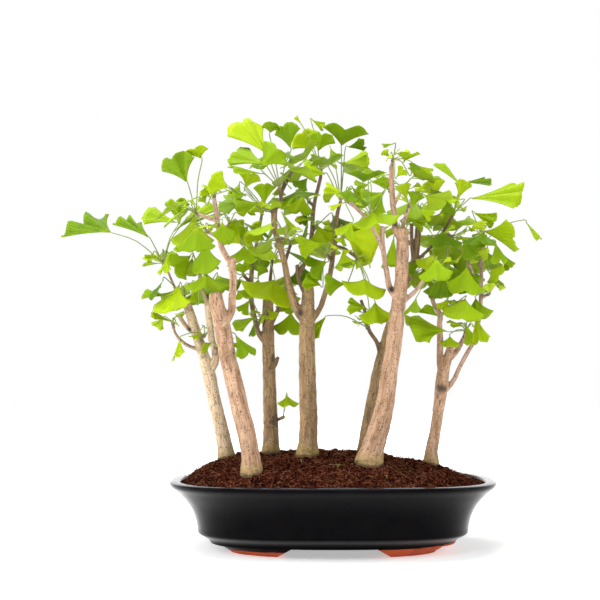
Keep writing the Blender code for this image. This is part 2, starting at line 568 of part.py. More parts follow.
def tree_in_front_right():
    """Tree 6: the thickest trunk, leaning to the right in front."""
    tree = Tree(6)
    tree.trunk(((368, 466, 26), (370, 456, 24), (375, 440, 22), (379.5, 425, 21), (384, 408, 18.5),
                (387, 390, 17.3), (389.5, 370, 16.4), (393, 350, 16), (396, 325, 15.8), (398.5, 305, 14.5),
                (401, 285, 13.4), (402.5, 260, 12.8), (403, 229, 12)), -0.060, -0.050)
    tree.branch(((400, 240, 8), (396, 230, 6.5), (394.5, 215, 6), (393, 200, 5.8), (392, 180, 5.6),
                 (392, 165, 5)), -2)
    tree.branch(((402, 236, 5), (404, 222, 4.2), (408, 211, 3.6)), 6)
    tree.branch(((400, 306, 6), (410, 296, 4.5), (418, 288, 4), (430, 271, 3.2)), 6)
    tree.branch(((396, 300, 8), (390, 288, 6), (387, 273, 5.4), (384.5, 258, 5.2), (382.5, 240, 5),
                 (383, 226, 4.6)), -6)
    tree.branch(((384, 252, 5), (378, 238, 4.2), (370, 223, 4), (361, 212, 3.8), (352, 204, 3.4)), -10)
    tree.spray(root=(392, 167), tip=(393, 161), away=-2, more=1, leaves=(
        Leaf(joint=(393, 143), tip=(384, 144), spread=28, roll=50, near=2),
        Leaf(joint=(405, 160), corners=((396, 154), (421, 153)), spread=48, near=4),
        Leaf(joint=(398, 175), tip=(405, 168), spread=46, roll=10, near=6),
        Leaf(joint=(412, 172), tip=(417, 164), spread=49, roll=25, near=10),
        Leaf(joint=(421, 166), tip=(432, 171), spread=16, roll=30, near=10)))
    tree.spray(root=(408, 213), tip=(409, 207), away=-3, more=2, leaves=(
        Leaf(joint=(407, 198), tip=(404, 184), spread=39, roll=25, near=4),
        Leaf(joint=(413, 206), tip=(417, 192), spread=39, roll=-20, near=8),
        Leaf(joint=(421, 209), tip=(432, 216), spread=30, roll=20, lean=15, near=12)))
    tree.spray(root=(352, 204), tip=(348, 201), away=-2, more=1, leaves=(
        Leaf(joint=(344, 193), tip=(327, 186), spread=26, roll=35, near=4),
        Leaf(joint=(342, 203), tip=(331, 207), spread=21, roll=40, near=2),
        Leaf(joint=(352, 222), tip=(344, 236), spread=42, roll=12, lean=20, near=4)))
    tree.spray(root=(370, 223), tip=(371, 218), away=-6, more=1, leaves=(
        Leaf(joint=(364, 181), corners=((345, 174), (386, 173)), spread=54, near=12),
        Leaf(joint=(383, 192), tip=(368, 205), spread=56, roll=8, lean=15, near=-8),
        Leaf(joint=(368, 184), tip=(356, 186), spread=39, roll=30, near=-10),
        Leaf(joint=(372, 181), tip=(386, 182), spread=32, roll=35, near=-4)))
    tree.spray(root=(429, 272), tip=(433, 268), away=-4, more=1, leaves=(
        Leaf(joint=(416, 299), corners=((403, 314), (421, 311)), spread=36, near=8),
        Leaf(joint=(436, 281), tip=(446, 276), spread=35, roll=30, near=0)))
    tree.spray(root=(394, 205), tip=(402, 190), away=26, more=3)
    return tree


def tree_at_the_right():
    """Tree 7: the short one at the right, forked above a dark knot."""
    tree = Tree(7)
    tree.trunk(((430, 464, 15), (431, 450, 12.5), (435, 430, 11), (438, 410, 11), (439.5, 400, 11.5),
                (441, 388, 13), (443, 372, 12.5), (447, 360, 9), (451, 344, 7)), 0.000, 0.004)
    tree.branch(((442, 376, 8), (440, 362, 7), (440, 340, 6.5), (439.5, 325, 5.5), (440, 315, 5.5),
                 (434, 304, 4.5), (432, 298, 4)), -10)
    tree.branch(((449, 362, 6), (455, 353, 5.5), (460, 345, 5), (464, 337, 4)), 8)
    tree.branch(((443, 394, 7), (452, 382, 4.8), (460, 366, 4.5), (467, 353, 4.5), (473, 343, 4.4),
                 (476, 334, 4.2), (480, 315, 4.2), (481, 300, 4.2), (481.5, 285, 4), (482, 258, 3.6)), 10)
    tree.branch(((481, 286, 3), (475, 277, 2.6), (471, 267, 2.4)), -12)
    tree.branch(((482, 262, 3), (484, 247, 2.6)), -6)
    tree.spray(root=(440, 316), tip=(445, 312), away=-5, leaves=(
        Leaf(joint=(438, 316), corners=((419, 311), (432, 305)), spread=40, near=8),
        Leaf(joint=(465, 299), tip=(462, 319), spread=60, roll=6, lean=30, near=24),
        Leaf(joint=(447, 300), tip=(443, 310), spread=49, lean=15, near=14)))
    tree.spray(root=(464, 338), tip=(465, 333), away=-3, leaves=(
        Leaf(joint=(446, 331), corners=((421, 317), (425, 347)), spread=58, near=12),
        Leaf(joint=(464, 326), corners=((449, 321), (452, 329)), spread=26, near=4),
        Leaf(joint=(450, 337), tip=(450, 347), spread=60, lean=30, near=12),
        Leaf(joint=(466, 326), tip=(472, 342), spread=28, lean=10, near=4),
        Leaf(joint=(476, 318), corners=((472, 342), (490, 337)), spread=28, near=10)))
    tree.spray(root=(481, 298), tip=(487, 295), away=-4, more=1, leaves=(
        Leaf(joint=(476, 299), corners=((462, 316), (492, 311)), spread=50, near=16),))
    tree.spray(root=(471, 268), tip=(469, 264), away=-3, more=1, leaves=(
        Leaf(joint=(467, 268), tip=(465, 292), spread=46, roll=-5, lean=25, near=12),))
    tree.spray(root=(484, 248), tip=(485, 243), away=-3, more=1, leaves=(
        Leaf(joint=(485, 231), corners=((503, 221), (516, 250)), spread=40, near=6),
        Leaf(joint=(476, 213), tip=(494, 221), spread=26, roll=25, near=-6),
        Leaf(joint=(496, 243), corners=((488, 262), (508, 260)), spread=34, near=10),
        Leaf(joint=(527, 222), corners=((532, 241), (542, 239)), spread=22, near=-4),
        Leaf(joint=(491, 270), tip=(501, 277), spread=72, roll=0, lean=10, near=2),
        Leaf(joint=(503, 254), tip=(510, 267), spread=26, roll=20, near=-4)))
    tree.spray(root=(481, 290), tip=(470, 284), away=32, more=4)
    tree.spray(root=(482, 268), tip=(476, 256), away=40, more=4)
    return tree


TREES = (tree_at_the_left, tree_in_front_left, tree_at_the_back_left, tree_in_the_centre,
         tree_behind_the_right, tree_in_front_right, tree_at_the_right)
PALE_TREES = ("tree_1", "tree_2", "tree_6", "tree_7")

# The crown's outline in the front view, which the leaves placed by rule stay inside
CROWN = ((143, 262), (146, 206), (184, 200), (200, 176), (226, 164), (228, 140), (275, 124), (330, 122), (368, 128),
         (376, 164), (420, 164), (462, 180), (500, 206), (516, 240), (508, 282), (490, 300), (486, 340), (410, 340),
         (408, 318), (350, 314), (320, 290), (296, 300), (290, 330), (236, 330), (232, 300), (152, 312))

# Openings in the crown where the front view shows through: the lowest and highest column and row of each
OPENINGS = ((186, 226, 158, 178), (222, 248, 170, 181), (236, 258, 208, 220), (284, 298, 214, 240),
            (320, 346, 190, 200), (318, 330, 208, 222), (340, 352, 244, 252), (148, 170, 226, 244),
            (378, 391, 140, 166), (454, 470, 196, 212), (282, 296, 258, 276), (232, 238, 262, 330),
            (205, 232, 296, 330), (300, 316, 288, 330), (398, 410, 232, 330), (388, 397, 165, 222),
            (298, 372, 288, 330), (172, 200, 316, 336))


def inside_crown(place):
    """Whether a place of the front view lies in the crown's outline and in none of its openings."""
    column, row = place
    inside = False
    for (x0, y0), (x1, y1) in zip(CROWN, CROWN[1:] + CROWN[:1]):
        if (y0 > row) != (y1 > row) and column < x0 + (row - y0) * (x1 - x0) / (y1 - y0):
            inside = not inside
    return inside and not any(x0 < column < x1 and y0 < row < y1 for x0, x1, y0, y1 in OPENINGS)


class Room:
    """The space already taken by wood and leaves, tested with their surfaces."""

    def __init__(self):
        self.taken = []

    def add(self, owner, verts, faces):
        self.taken.append((owner, bounds(verts), BVHTree.FromPolygons(verts, faces)))

    def clear(self, owners_left_out, verts, faces):
        low, high = bounds(verts)
        mine = None
        for owner, (other_low, other_high), tree in self.taken:
            if owner in owners_left_out or any(low[k] > other_high[k] or high[k] < other_low[k] for k in range(3)):
                continue
            mine = mine or BVHTree.FromPolygons(verts, faces)
            if mine.overlap(tree):
                return False
        return True


def bounds(verts):
    return ([min(v[k] for v in verts) for k in range(3)], [max(v[k] for v in verts) for k in range(3)])


def try_leaf(room, spray, joint, axis, side, length, spread, seed):
    """Takes the leaf into its spray if its blade and stalk are clear of the others, and says if it was."""
    stalk = stalk_points(spray.hub, spray.out, joint, axis)
    lie = ([joint - axis * BLADE_ROOT, joint], axis, side, length, spread, seed)
    if not room.clear((), *leaf_shape(*lie, BLADE_THICKNESS + 2 * LEAF_CLEARANCE, NECK_HALF_WIDTH)):
        return False
    stalk[0] += (stalk[1] - stalk[0]).normalized() * HUB_LENGTH / 2
    stalk[-1] = joint - axis * 2 * BLADE_ROOT
    if not room.clear((spray.name,), *tube(stalk, [STALK_RADIUS + LEAF_CLEARANCE / 2] * len(stalk), 4)):
        return False
    room.add(spray.name + "_blade", *leaf_shape(*lie, BLADE_THICKNESS, NECK_HALF_WIDTH))
    room.add(spray.name, *tube(stalk, [STALK_RADIUS] * len(stalk), 4))
    spray.placed.append((joint, axis, side, length, spread, seed))
    return True


def place_drawn_leaf(room, spray, leaf, seed):
    """Places one leaf of the list, moved in depth or turned where another takes its space."""
    for shift in (0, -0.006, 0.006, -0.012, 0.012, -0.019, 0.019, -0.027, 0.027, -0.036, 0.036):
        for turn in (0, 14, -14):
            if try_leaf(room, spray, *leaf.stand(spray.hub, shift, turn), leaf.spread, seed):
                return


def place_ruled_leaf(room, spray, draw, seed):
    """Places one leaf round its hub by a seeded draw, inside the crown."""
    droops = DROOP_HIGH_UP if spray.hub.z > HIGH_LEAVES else DROOP_LOW_DOWN
    for _ in range(RULED_TRIES):
        heading = draw.uniform(0, math.tau)
        level = Vector((math.cos(heading), math.sin(heading), 0.0))
        way = (level + UP * draw.uniform(*RULED_RISE) + spray.out * RULED_OUTWARD).normalized()
        joint = spray.hub + way * draw.uniform(*RULED_STALK)
        droop = math.radians(draw.uniform(*droops))
        axis = (level * math.cos(droop) - UP * math.sin(droop)).normalized()
        side = Matrix.Rotation(draw.uniform(-RULED_TURN, RULED_TURN), 3, axis) @ across(axis)
        length = draw.uniform(*RULED_LENGTH)
        spread = draw.uniform(*RULED_SPREAD)
        lean = math.radians(spread)
        corners = [joint + (axis * math.cos(t) + side * math.sin(t)) * length for t in (-lean, 0, lean)]
        if not all(inside_crown(place_of(point)) for point in [joint] + corners):
            continue
        if try_leaf(room, spray, joint, axis, side, length, spread, seed):
            return


def leafed(trees, room):
    """Places every leaf of every spray, those of the lists first, and enters all in the room they take."""
    for tree in trees:
        for points, radii, sides in tree.limbs:
            room.add(tree.name, *tube(points, [radius + GAP for radius in radii], sides))
        for spray in tree.sprays:
            room.add(spray.name, *hub_shape(spray, GAP))
    sprays = [spray for tree in trees for spray in tree.sprays]
    for i, spray in enumerate(sprays):
        for k, leaf in enumerate(spray.leaves):
            place_drawn_leaf(room, spray, leaf, 100 * i + k)
    for i, spray in enumerate(sprays):
        draw = random.Random(7000 + i)
        for k in range(spray.more):
            place_ruled_leaf(room, spray, draw, 100 * i + 50 + k)


def hub_shape(spray, extra=0.0):
    """The small green bud that a spur's leaves grow from."""
    half = spray.out * HUB_LENGTH / 2
    radii = [HUB_RADIUS * 0.9 + extra, HUB_RADIUS * 0.6 + extra]
    return tube([spray.hub - half, spray.hub + half], radii, SPUR_SIDES)


def mesh_object(name, verts, faces, collection=None):
    """An object of this mesh, in the scene's collection unless another is given."""
    mesh = bpy.data.meshes.new(name)
    mesh.from_pydata(verts, [], faces)
    mesh.update()
    made = bpy.data.objects.new(name, mesh)
    (collection or bpy.context.scene.collection).objects.link(made)
    return made


def apply_modifier(body):
    """Makes the result of a body's modifier its own mesh."""
    graph = bpy.context.evaluated_depsgraph_get()
    result = bpy.data.meshes.new_from_object(body.evaluated_get(graph))
    body.modifiers.clear()
    body.data = result


def fused(name, shapes):
    """One object whose mesh is the Boolean union of these closed shapes.

    The exact solver leaves open edges where thin stalks and blades meet, so the manifold one joins them.
    """
    body = mesh_object(name, *shapes[0])
    others = bpy.data.collections.new(name + "_pieces")
    bpy.context.scene.collection.children.link(others)
    pieces = [mesh_object(f"{name}_{k}", *shape, others) for k, shape in enumerate(shapes[1:])]
    union = body.modifiers.new("Union", "BOOLEAN")
    union.operation = "UNION"
    union.operand_type = "COLLECTION"
    union.collection = others
    union.solver = "MANIFOLD"
    apply_modifier(body)
    for piece in pieces:
        bpy.data.objects.remove(piece)
    bpy.data.collections.remove(others)
    return body


def ring(half_length, half_depth, height, segments=TRAY_SEGMENTS):
    """The corners of one oval ring of the tray, its ends sagging a little as the clay did in the kiln."""
    corners = []
    for k in range(segments):
        turn = math.tau * (k + 0.5) / segments
        cos, sin = math.cos(turn), math.sin(turn)
        x = half_length * math.copysign(abs(cos) ** (2 / PLAN_POWER), cos)
        y = half_depth * math.copysign(abs(sin) ** (2 / PLAN_POWER), sin)
        sag = END_SAG * (x / TRAY_HALF_LENGTH) ** 2 if height > FLOOR_UNDERSIDE else 0.0
        corners.append(Vector((x, y, height - sag)))
    return corners


def lofted(rings):
    """A closed solid through a stack of rings, from the lowest to the highest."""
    verts = [corner for corners in rings for corner in corners]
    faces = []
    around = len(rings[0])
    for i in range(len(rings) - 1):
        for k in range(around):
            a = i * around + k
            b = i * around + (k + 1) % around
            faces.append((a, b, b + around))
            faces.append((a, b + around, a + around))
    low = len(verts)
    high = low + 1
    verts += [middle_of(rings[0]), middle_of(rings[-1])]
    last = (len(rings) - 1) * around
    for k in range(around):
        following = (k + 1) % around
        faces.append((low, following, k))
        faces.append((high, last + k, last + following))
    return verts, faces


def middle_of(corners):
    """The mean of a ring's corners."""
    return sum(corners, Vector()) / len(corners)


def walls(profile):
    """The closed solid of a profile of insets from the rim's outside and heights."""
    return lofted([ring(TRAY_HALF_LENGTH - inset, TRAY_HALF_DEPTH - inset, z) for inset, z in profile])


def outside_profile():
    """The tray's outer wall, from its underside past the ridge and the flare to its lip and rim."""
    return ((0.0500, FLOOR_UNDERSIDE), (0.0470, 0.0175), (0.0360, 0.0235), (0.0335, 0.0265), (0.0335, 0.0330),
            (0.0300, 0.0470), (0.0230, 0.0605), (0.0095, 0.0755), (0.0010, 0.0822),
            (0.0, TRAY_HEIGHT - 0.0012), (0.0016, TRAY_HEIGHT))


def hollow_profile():
    """The tray's inner wall, from its floor to above its rim."""
    return ((0.0450, FLOOR_TOP), (0.0390, 0.0460), (0.0300, 0.0605), (RIM_WIDTH, 0.0790),
            (RIM_WIDTH, TRAY_HEIGHT + 0.004))


def foot_level(inset, z):
    """One ring of the band of clay under the tray, this far inside the foot's edge on the ground."""
    half_length = TRAY_HALF_LENGTH - FOOT_INSET_LENGTH - inset
    half_depth = TRAY_HALF_DEPTH - FOOT_INSET_DEPTH - inset
    return ring(half_length, half_depth, z, FOOT_SEGMENTS)


def foot_ring():
    """The band of clay under the tray that its feet are cut from, as an outer and an inner solid."""
    top = FLOOR_UNDERSIDE + FOOT_JOIN
    outer = [foot_level(0.0, 0.0), foot_level(-FOOT_BEVEL, FOOT_BEVEL_HEIGHT), foot_level(-FOOT_LEAN, top)]
    inner = [foot_level(FOOT_WIDTH, -0.002), foot_level(FOOT_WIDTH + FOOT_LEAN_INSIDE, top + 0.002)]
    return lofted(outer), lofted(inner)


def arch(half_width, reach, turned):
    """The long cutter of one low arch, narrower at its top, along the depth or turned along the length."""
    corners = []
    for z in (-ARCH_TOP, ARCH_TOP):
        half = half_width - ARCH_SLOPE * z / ARCH_TOP
        corners += [Vector((x, y, z)) for y in (-reach, reach) for x in (-half, half)]
    if turned:
        corners = [Vector((-corner.y, corner.x, corner.z)) for corner in corners]
    return corners, [(0, 2, 3, 1), (4, 5, 7, 6), (0, 1, 5, 4), (2, 6, 7, 3), (0, 4, 6, 2), (1, 3, 7, 5)]


def carved(body, operation, shape):
    """Takes this closed shape out of a body, or joins it on."""
    other = mesh_object(body.name + "_other", *shape)
    change = body.modifiers.new("Carve", "BOOLEAN")
    change.operation = operation
    change.object = other
    apply_modifier(body)
    bpy.data.objects.remove(other)
    return body


def arches():
    """The two low arches, front to back and side to side, that part the foot ring into four feet."""
    return arch(ARCH_HALF_LENGTH, TRAY_HALF_DEPTH, False), arch(ARCH_HALF_DEPTH, TRAY_HALF_LENGTH, True)


def drain(x):
    """The cutter of a round drain hole through the floor."""
    foot = Vector((x, 0.0, 0.0))
    return tube([foot, foot + UP * 2 * FLOOR_TOP], [DRAIN_RADIUS, DRAIN_RADIUS], DRAIN_SIDES)


def make_tray():
    """The glazed tray: its walls and rim, its feet, and the holes in its floor."""
    outer, inner = foot_ring()
    feet = mesh_object("feet", *outer)
    for shape in (inner, *arches()):
        carved(feet, "DIFFERENCE", shape)
    tray = mesh_object("tray", *walls(outside_profile()))
    join = tray.modifiers.new("Feet", "BOOLEAN")
    join.operation = "UNION"
    join.object = feet
    apply_modifier(tray)
    bpy.data.objects.remove(feet)
    for shape in (walls(hollow_profile()), drain(-DRAIN_OFFSET), drain(DRAIN_OFFSET)):
        carved(tray, "DIFFERENCE", shape)
    return tray


def soil_height(x, y):
    """The height of the soil's surface: a mound with its front lower than its back."""
    across_x = x / (TRAY_HALF_LENGTH - RIM_WIDTH)
    across_y = y / (TRAY_HALF_DEPTH - RIM_WIDTH)
    out = min(1.0, (abs(across_x) ** PLAN_POWER + abs(across_y) ** PLAN_POWER) ** (1 / PLAN_POWER))
    rise = SOIL_CREST * (1 - out ** (SOIL_SHOULDER - SOIL_SHOULDER_LEFT * across_x))
    front = SOIL_FRONT_FALL * max(0.0, -across_y) * (1 - out ** 4)
    dip = SOIL_DIP * math.exp(-((x - SOIL_DIP_X) / SOIL_DIP_WIDTH) ** 2) * (1 - out ** 2)
    lumps = SOIL_LUMP * math.sin(SOIL_LUMPS_ALONG * x + 2) * math.cos(SOIL_LUMPS_DEEP * y + 1)
    sag = END_SAG * (x / TRAY_HALF_LENGTH) ** 2
    return SOIL_EDGE_HEIGHT + rise - front - dip + lumps * (1 - out ** 6) - sag


def make_soil(trees):
    """The mound of soil, clear of the tray's wall, with a plain hole round each trunk's foot."""
    rings = []
    for inset, z in hollow_profile()[:-2]:
        inset += SOIL_CLEARANCE
        rings.append(ring(TRAY_HALF_LENGTH - inset, TRAY_HALF_DEPTH - inset, z + SOIL_CLEARANCE))
    edge = RIM_WIDTH + SOIL_CLEARANCE
    for share in SOIL_RINGS:
        corners = ring((TRAY_HALF_LENGTH - edge) * share, (TRAY_HALF_DEPTH - edge) * share, 0.0)
        rings.append([Vector((p.x, p.y, soil_height(p.x, p.y))) for p in corners])
    soil = mesh_object("soil", *lofted(rings))
    for tree in trees:
        points, radii, sides = tree.limbs[0]
        foot = points[0] + (points[0] - points[1]).normalized() * SOCKET_GAP
        carved(soil, "DIFFERENCE", tube([foot, *points[1:3]], [r + SOCKET_GAP for r in radii[:3]], sides))
    return soil


def material(name, colour, roughness):
    """A plain finish that isn't metal."""
    made = bpy.data.materials.new(name)
    made.use_nodes = True
    shader = made.node_tree.nodes["Principled BSDF"]
    shader.inputs["Base Color"].default_value = (*colour, 1.0)
    shader.inputs["Roughness"].default_value = roughness
    shader.inputs["Metallic"].default_value = 0.0
    made.diffuse_color = (*colour, 1.0)
    return made


def make_wood(tree, finish):
    """A tree's trunk with all its branches and spurs, grown together as one piece."""
    wood = fused(f"{tree.name}_wood", [tube(*limb) for limb in tree.limbs])
    wood.data.materials.append(finish)
    return wood


def make_spray(spray, finish):
    """A hub with its leaf stalks and blades as one piece."""
    shapes = [hub_shape(spray)]
    for joint, axis, *lie in spray.placed:
        stalk = stalk_points(spray.hub, spray.out, joint, axis)
        shapes.append(leaf_shape(stalk, axis, *lie, BLADE_THICKNESS, STALK_RADIUS))
    made = fused(spray.name, shapes)
    made.data.materials.append(finish)
    return made


def main():
    for old in list(bpy.data.objects):
        bpy.data.objects.remove(old)
    glaze = material("dark_glaze", (0.010, 0.011, 0.016), 0.12)
    earth = material("fibrous_soil", (0.085, 0.030, 0.018), 0.95)
    pale_bark = material("pale_bark", (0.55, 0.40, 0.27), 0.75)
    brown_bark = material("brown_bark", (0.33, 0.22, 0.12), 0.75)
    leaf_green = material("leaf_green", (0.30, 0.50, 0.02), 0.45)
    trees = [plant() for plant in TREES]
    leafed(trees, Room())
    tray = make_tray()
    tray.data.materials.append(glaze)
    soil = make_soil(trees)
    soil.data.materials.append(earth)
    pieces = [tray, soil]
    for tree in trees:
        pieces.append(make_wood(tree, pale_bark if tree.name in PALE_TREES else brown_bark))
        pieces += [make_spray(spray, leaf_green) for spray in tree.sprays]
    bonsai = bpy.data.objects.new("bonsai", None)
    bpy.context.scene.collection.objects.link(bonsai)
    bonsai.location = TRAY_CENTRE
    for piece in pieces:
        piece.parent = bonsai


main()
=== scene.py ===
"""The looks of a ginkgo bonsai: seven young trees in spring leaf, in an oval glazed tray.

The plan of the planting is the one the solids were made from: every trunk, branch and leaf stands where its
plain solid does. Fine leaves, bark, soil and glaze replace the plain solids.
"""

import math
import random

import bpy
import numpy as np
from mathutils import Matrix, Vector, noise
from mathutils.bvhtree import BVHTree
from mathutils.kdtree import KDTree


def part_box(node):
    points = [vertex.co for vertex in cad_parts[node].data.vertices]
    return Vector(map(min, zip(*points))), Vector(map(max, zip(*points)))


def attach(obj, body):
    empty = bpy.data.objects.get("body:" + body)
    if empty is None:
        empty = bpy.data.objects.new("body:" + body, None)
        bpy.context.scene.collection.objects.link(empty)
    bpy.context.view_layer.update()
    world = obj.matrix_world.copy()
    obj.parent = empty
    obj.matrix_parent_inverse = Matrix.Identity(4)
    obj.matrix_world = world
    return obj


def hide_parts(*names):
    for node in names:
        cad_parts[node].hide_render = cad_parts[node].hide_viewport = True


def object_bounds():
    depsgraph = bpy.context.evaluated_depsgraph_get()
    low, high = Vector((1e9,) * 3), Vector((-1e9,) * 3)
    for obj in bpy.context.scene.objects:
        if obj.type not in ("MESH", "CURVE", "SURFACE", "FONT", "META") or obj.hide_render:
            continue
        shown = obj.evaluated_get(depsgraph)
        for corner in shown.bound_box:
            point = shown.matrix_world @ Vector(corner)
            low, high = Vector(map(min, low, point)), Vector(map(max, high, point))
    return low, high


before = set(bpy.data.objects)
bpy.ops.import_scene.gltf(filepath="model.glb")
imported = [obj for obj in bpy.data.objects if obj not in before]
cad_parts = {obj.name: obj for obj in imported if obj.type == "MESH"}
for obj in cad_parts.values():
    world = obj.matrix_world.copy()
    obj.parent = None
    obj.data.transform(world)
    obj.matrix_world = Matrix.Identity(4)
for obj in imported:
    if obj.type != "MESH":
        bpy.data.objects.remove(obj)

# The tray's centre on the ground, from the frame
TRAY_LOW, TRAY_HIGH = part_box("tray")
TRAY_CENTRE = Vector(((TRAY_LOW.x + TRAY_HIGH.x) / 2, (TRAY_LOW.y + TRAY_HIGH.y) / 2, 0.0))

# The tray
TRAY_HALF_LENGTH = 0.200
TRAY_HALF_DEPTH = 0.150
TRAY_HEIGHT = 0.0875
PLAN_POWER = 2.5
END_SAG = 0.004
RIM_WIDTH = 0.014
FLOOR_TOP = 0.022
FLOOR_UNDERSIDE = 0.012
FOOT_INSET_LENGTH = 0.070
FOOT_INSET_DEPTH = 0.066
FOOT_WIDTH = 0.020
ARCH_HALF_LENGTH = 0.067
ARCH_HALF_DEPTH = 0.038
ARCH_TOP = 0.0115
ARCH_SLOPE = 0.017
DRAIN_RADIUS = 0.009
DRAIN_OFFSET = 0.080
DRAIN_SIDES = 12

# The soil: a mound that is fuller at the left, falls towards the front and dips between trees 6 and 7
GAP = 0.0003
SOIL_CLEARANCE = 0.0006
SOIL_EDGE_HEIGHT = 0.0815
SOIL_CREST = 0.0345
SOIL_SHOULDER = 3.9
SOIL_SHOULDER_LEFT = 1.9
SOIL_FRONT_FALL = 0.010
SOIL_DIP = 0.005
SOIL_DIP_X = 0.088
SOIL_DIP_WIDTH = 0.028
SOIL_LUMP = 0.0012
SOIL_LUMPS_ALONG = 61
SOIL_LUMPS_DEEP = 74
TRUNK_SOCKET_DEPTH = 0.028

# The wood: the sides of thick and thin limbs
THICK_TRUNK = 16
THICK_SIDES = 8
THIN_SIDES = 6
BRANCH_SIDES = 5
SPUR_SIDES = 4
SPUR_RADIUS = 0.0020

# The buds that the leaves grow from
HUB_LENGTH = 0.0060
HUB_RADIUS = 0.0026

# The leaf stalks
STALK_RADIUS = 0.0007
STALK_NECK = 0.005
NECK_HALF_WIDTH = 0.0009
SHORT_STALK = 0.045
STALK_BOW = 0.04
STALK_BOW_BACK = 0.20
STALK_ARCH = 0.08

# The blades: lengths are shares of the leaf's length
BLADE_THICKNESS = 0.0007
LOBE_REACH = 1.14
CORNER_FALL = 0.10
CORNER_REACH = LOBE_REACH - CORNER_FALL
EDGE_UNEVEN = 0.05
NOTCH = (0.12, 0.34)
WAVE = (0.03, 0.09)
CUP = 0.16
CORNER_ROUNDS = 5
EDGE_STEPS = 4
BIG_LEAF = 0.042
BIG_EDGE_STEPS = 6

# The leaves placed by rule: those low down, those high up and the small young ones
LEAF_CLEARANCE = 0.0009
BLADE_ROOT = 0.001
RULED_TRIES = 24
HIGH_LEAVES = 0.40
LOW_RULE = {"rise": (-0.1, 0.9), "outward": 0.6, "stalk": (0.016, 0.038), "droop": (10, 75), "turn": 0.5,
            "length": (0.023, 0.037), "spread": (46, 66)}
HIGH_RULE = LOW_RULE | {"droop": (-15, 45)}
YOUNG_RULE = {"rise": (-0.2, 1.2), "outward": 0.5, "stalk": (0.007, 0.018), "droop": (-40, 50), "turn": 0.9,
              "length": (0.008, 0.016), "spread": (34, 56)}
YOUNG_LEAVES = 4
BARE_BELOW = 0.20

# How far a leaf of the rows moves in depth, and how far it turns, to find room, in the order of trying
LEAF_SHIFTS = (0, -0.006, 0.006, -0.012, 0.012, -0.019, 0.019, -0.027, 0.027, -0.036, 0.036)
LEAF_TURNS = (0, 14, -14)

# The seeds: each spray has a hundred, of which the ruled and the young leaves take those from here on,
# and the draws that place these leaves have seeds of their own
RULED_SEEDS = 50
YOUNG_SEEDS = 70
RULED_DRAWS = 7000
YOUNG_DRAWS = 9000

# The front view: the eye's place beside and above the tray's centre, and the grid that places are read on,
# in steps of this many metres at the tray's centre
EYE_X = -0.040
EYE_Z = 0.235
EYE_DISTANCE = 1.600
GRID_STEP = 0.001242
GRID_COLUMN = 300
GRID_ROW = 357

# The finer leaves: steps across and along a blade, and its true thickness
ACROSS = 18
ALONG = 7
YOUNG_ACROSS = 10
YOUNG_ALONG = 4
FINE_THICKNESS = 0.0004
SIDE_HOLLOW = 0.62
NOTCH_SHARE = 0.55
NOTCH_HALF_WIDTH = 0.10
VEIN_TURN = 3.0
VEIN_LENGTH = 0.05
STALK_STEPS = 9
STALK_SIDES = 6
BUD_SIDES = 9
DRAWN_TONES = (0.08, 0.88)
# The ruled leaves fill the crown's inside: their deep tones are partly their own colour and partly painted shade
RULED_SHADED_TONES = (0.0, 0.55)
YOUNG_TONES = (0.45, 1.0)

# The finer wood
BARK_VOXEL = 0.0010
LIMB_STEP = 0.0022
LIMB_SIDES = 24
SMOOTHING = 2
FOOT_FLARE = 0.16
FOOT_FLARE_HEIGHT = 0.010
CUT_END_RADIUS = 0.0030
STAIN_HEIGHT = 0.016

# The bark's relief of furrows, lumps and folds: how fine each is across and along a limb, and its share of the
# limb's radius
BARK_RELIEF = ((420, 75, 0.035), (95, 95, 0.05), (40, 210, 0.02))

# How far a knot's rim stands out, as a share of its size, and how much its middle dips
KNOT_RISE = 0.30
KNOT_DIP = 1.2

# The knots on the trunks' fronts: where the front view shows each, its size, and how dark it is
KNOTS = {"tree_1": (((189, 332), 0.0050, 1.0), ((197, 357), 0.0045, 0.9), ((210, 412), 0.0035, 0.5)),
         "tree_2": (((218, 225), 0.0030, 0.9), ((226, 340), 0.0055, 0.4), ((232, 372), 0.0040, 0.4)),
         "tree_3": (((266, 350), 0.0040, 0.7), ((270, 412), 0.0035, 0.5)),
         "tree_4": (((298, 315), 0.0055, 0.9), ((275, 207), 0.0040, 1.0), ((309, 372), 0.0045, 0.5)),
         "tree_5": (((380, 362), 0.0035, 0.6),),
         "tree_6": (((391, 290), 0.0050, 1.0), ((395, 225), 0.0045, 0.9), ((388, 398), 0.0050, 0.5)),
         "tree_7": (((443, 388), 0.0065, 1.0), ((449, 352), 0.0030, 0.8))}

# The barks: the light, the middle and the dark colour of each, the colour of its twigs, and its trees
BARKS = {"cream_bark": ((0.78, 0.60, 0.41), (0.58, 0.41, 0.25), (0.11, 0.060, 0.032), (0.30, 0.20, 0.12)),
         "rosy_bark": ((0.57, 0.365, 0.230), (0.30, 0.160, 0.083), (0.048, 0.023, 0.013), (0.47, 0.33, 0.265)),
         # The brown bark's twig colour is deep, partly the twigs' own colour and partly painted shade
         "brown_bark": ((0.42, 0.272, 0.128), (0.215, 0.128, 0.056), (0.033, 0.016, 0.008),
                        (0.085, 0.050, 0.028))}
BARK_OF = {"tree_1": "cream_bark", "tree_2": "rosy_bark", "tree_3": "brown_bark", "tree_4": "brown_bark",
           "tree_5": "brown_bark", "tree_6": "rosy_bark", "tree_7": "rosy_bark"}

# The soil's crumbs and fibres, so many on each square metre
CLUMPS = 5200
CLUMP_RADIUS = 0.0040
CRUMBS = 90000
CRUMB_RADIUS = 0.0016
FIBRES = 60000
FIBRE_LENGTH = 0.010
STRANDS = 15000
STRAND_LENGTH = 0.021
FIBRE_RADIUS = 0.00022
SOIL_ROUGHNESS = 0.0021
SOIL_AROUND = 220
SOIL_STEPS = 70
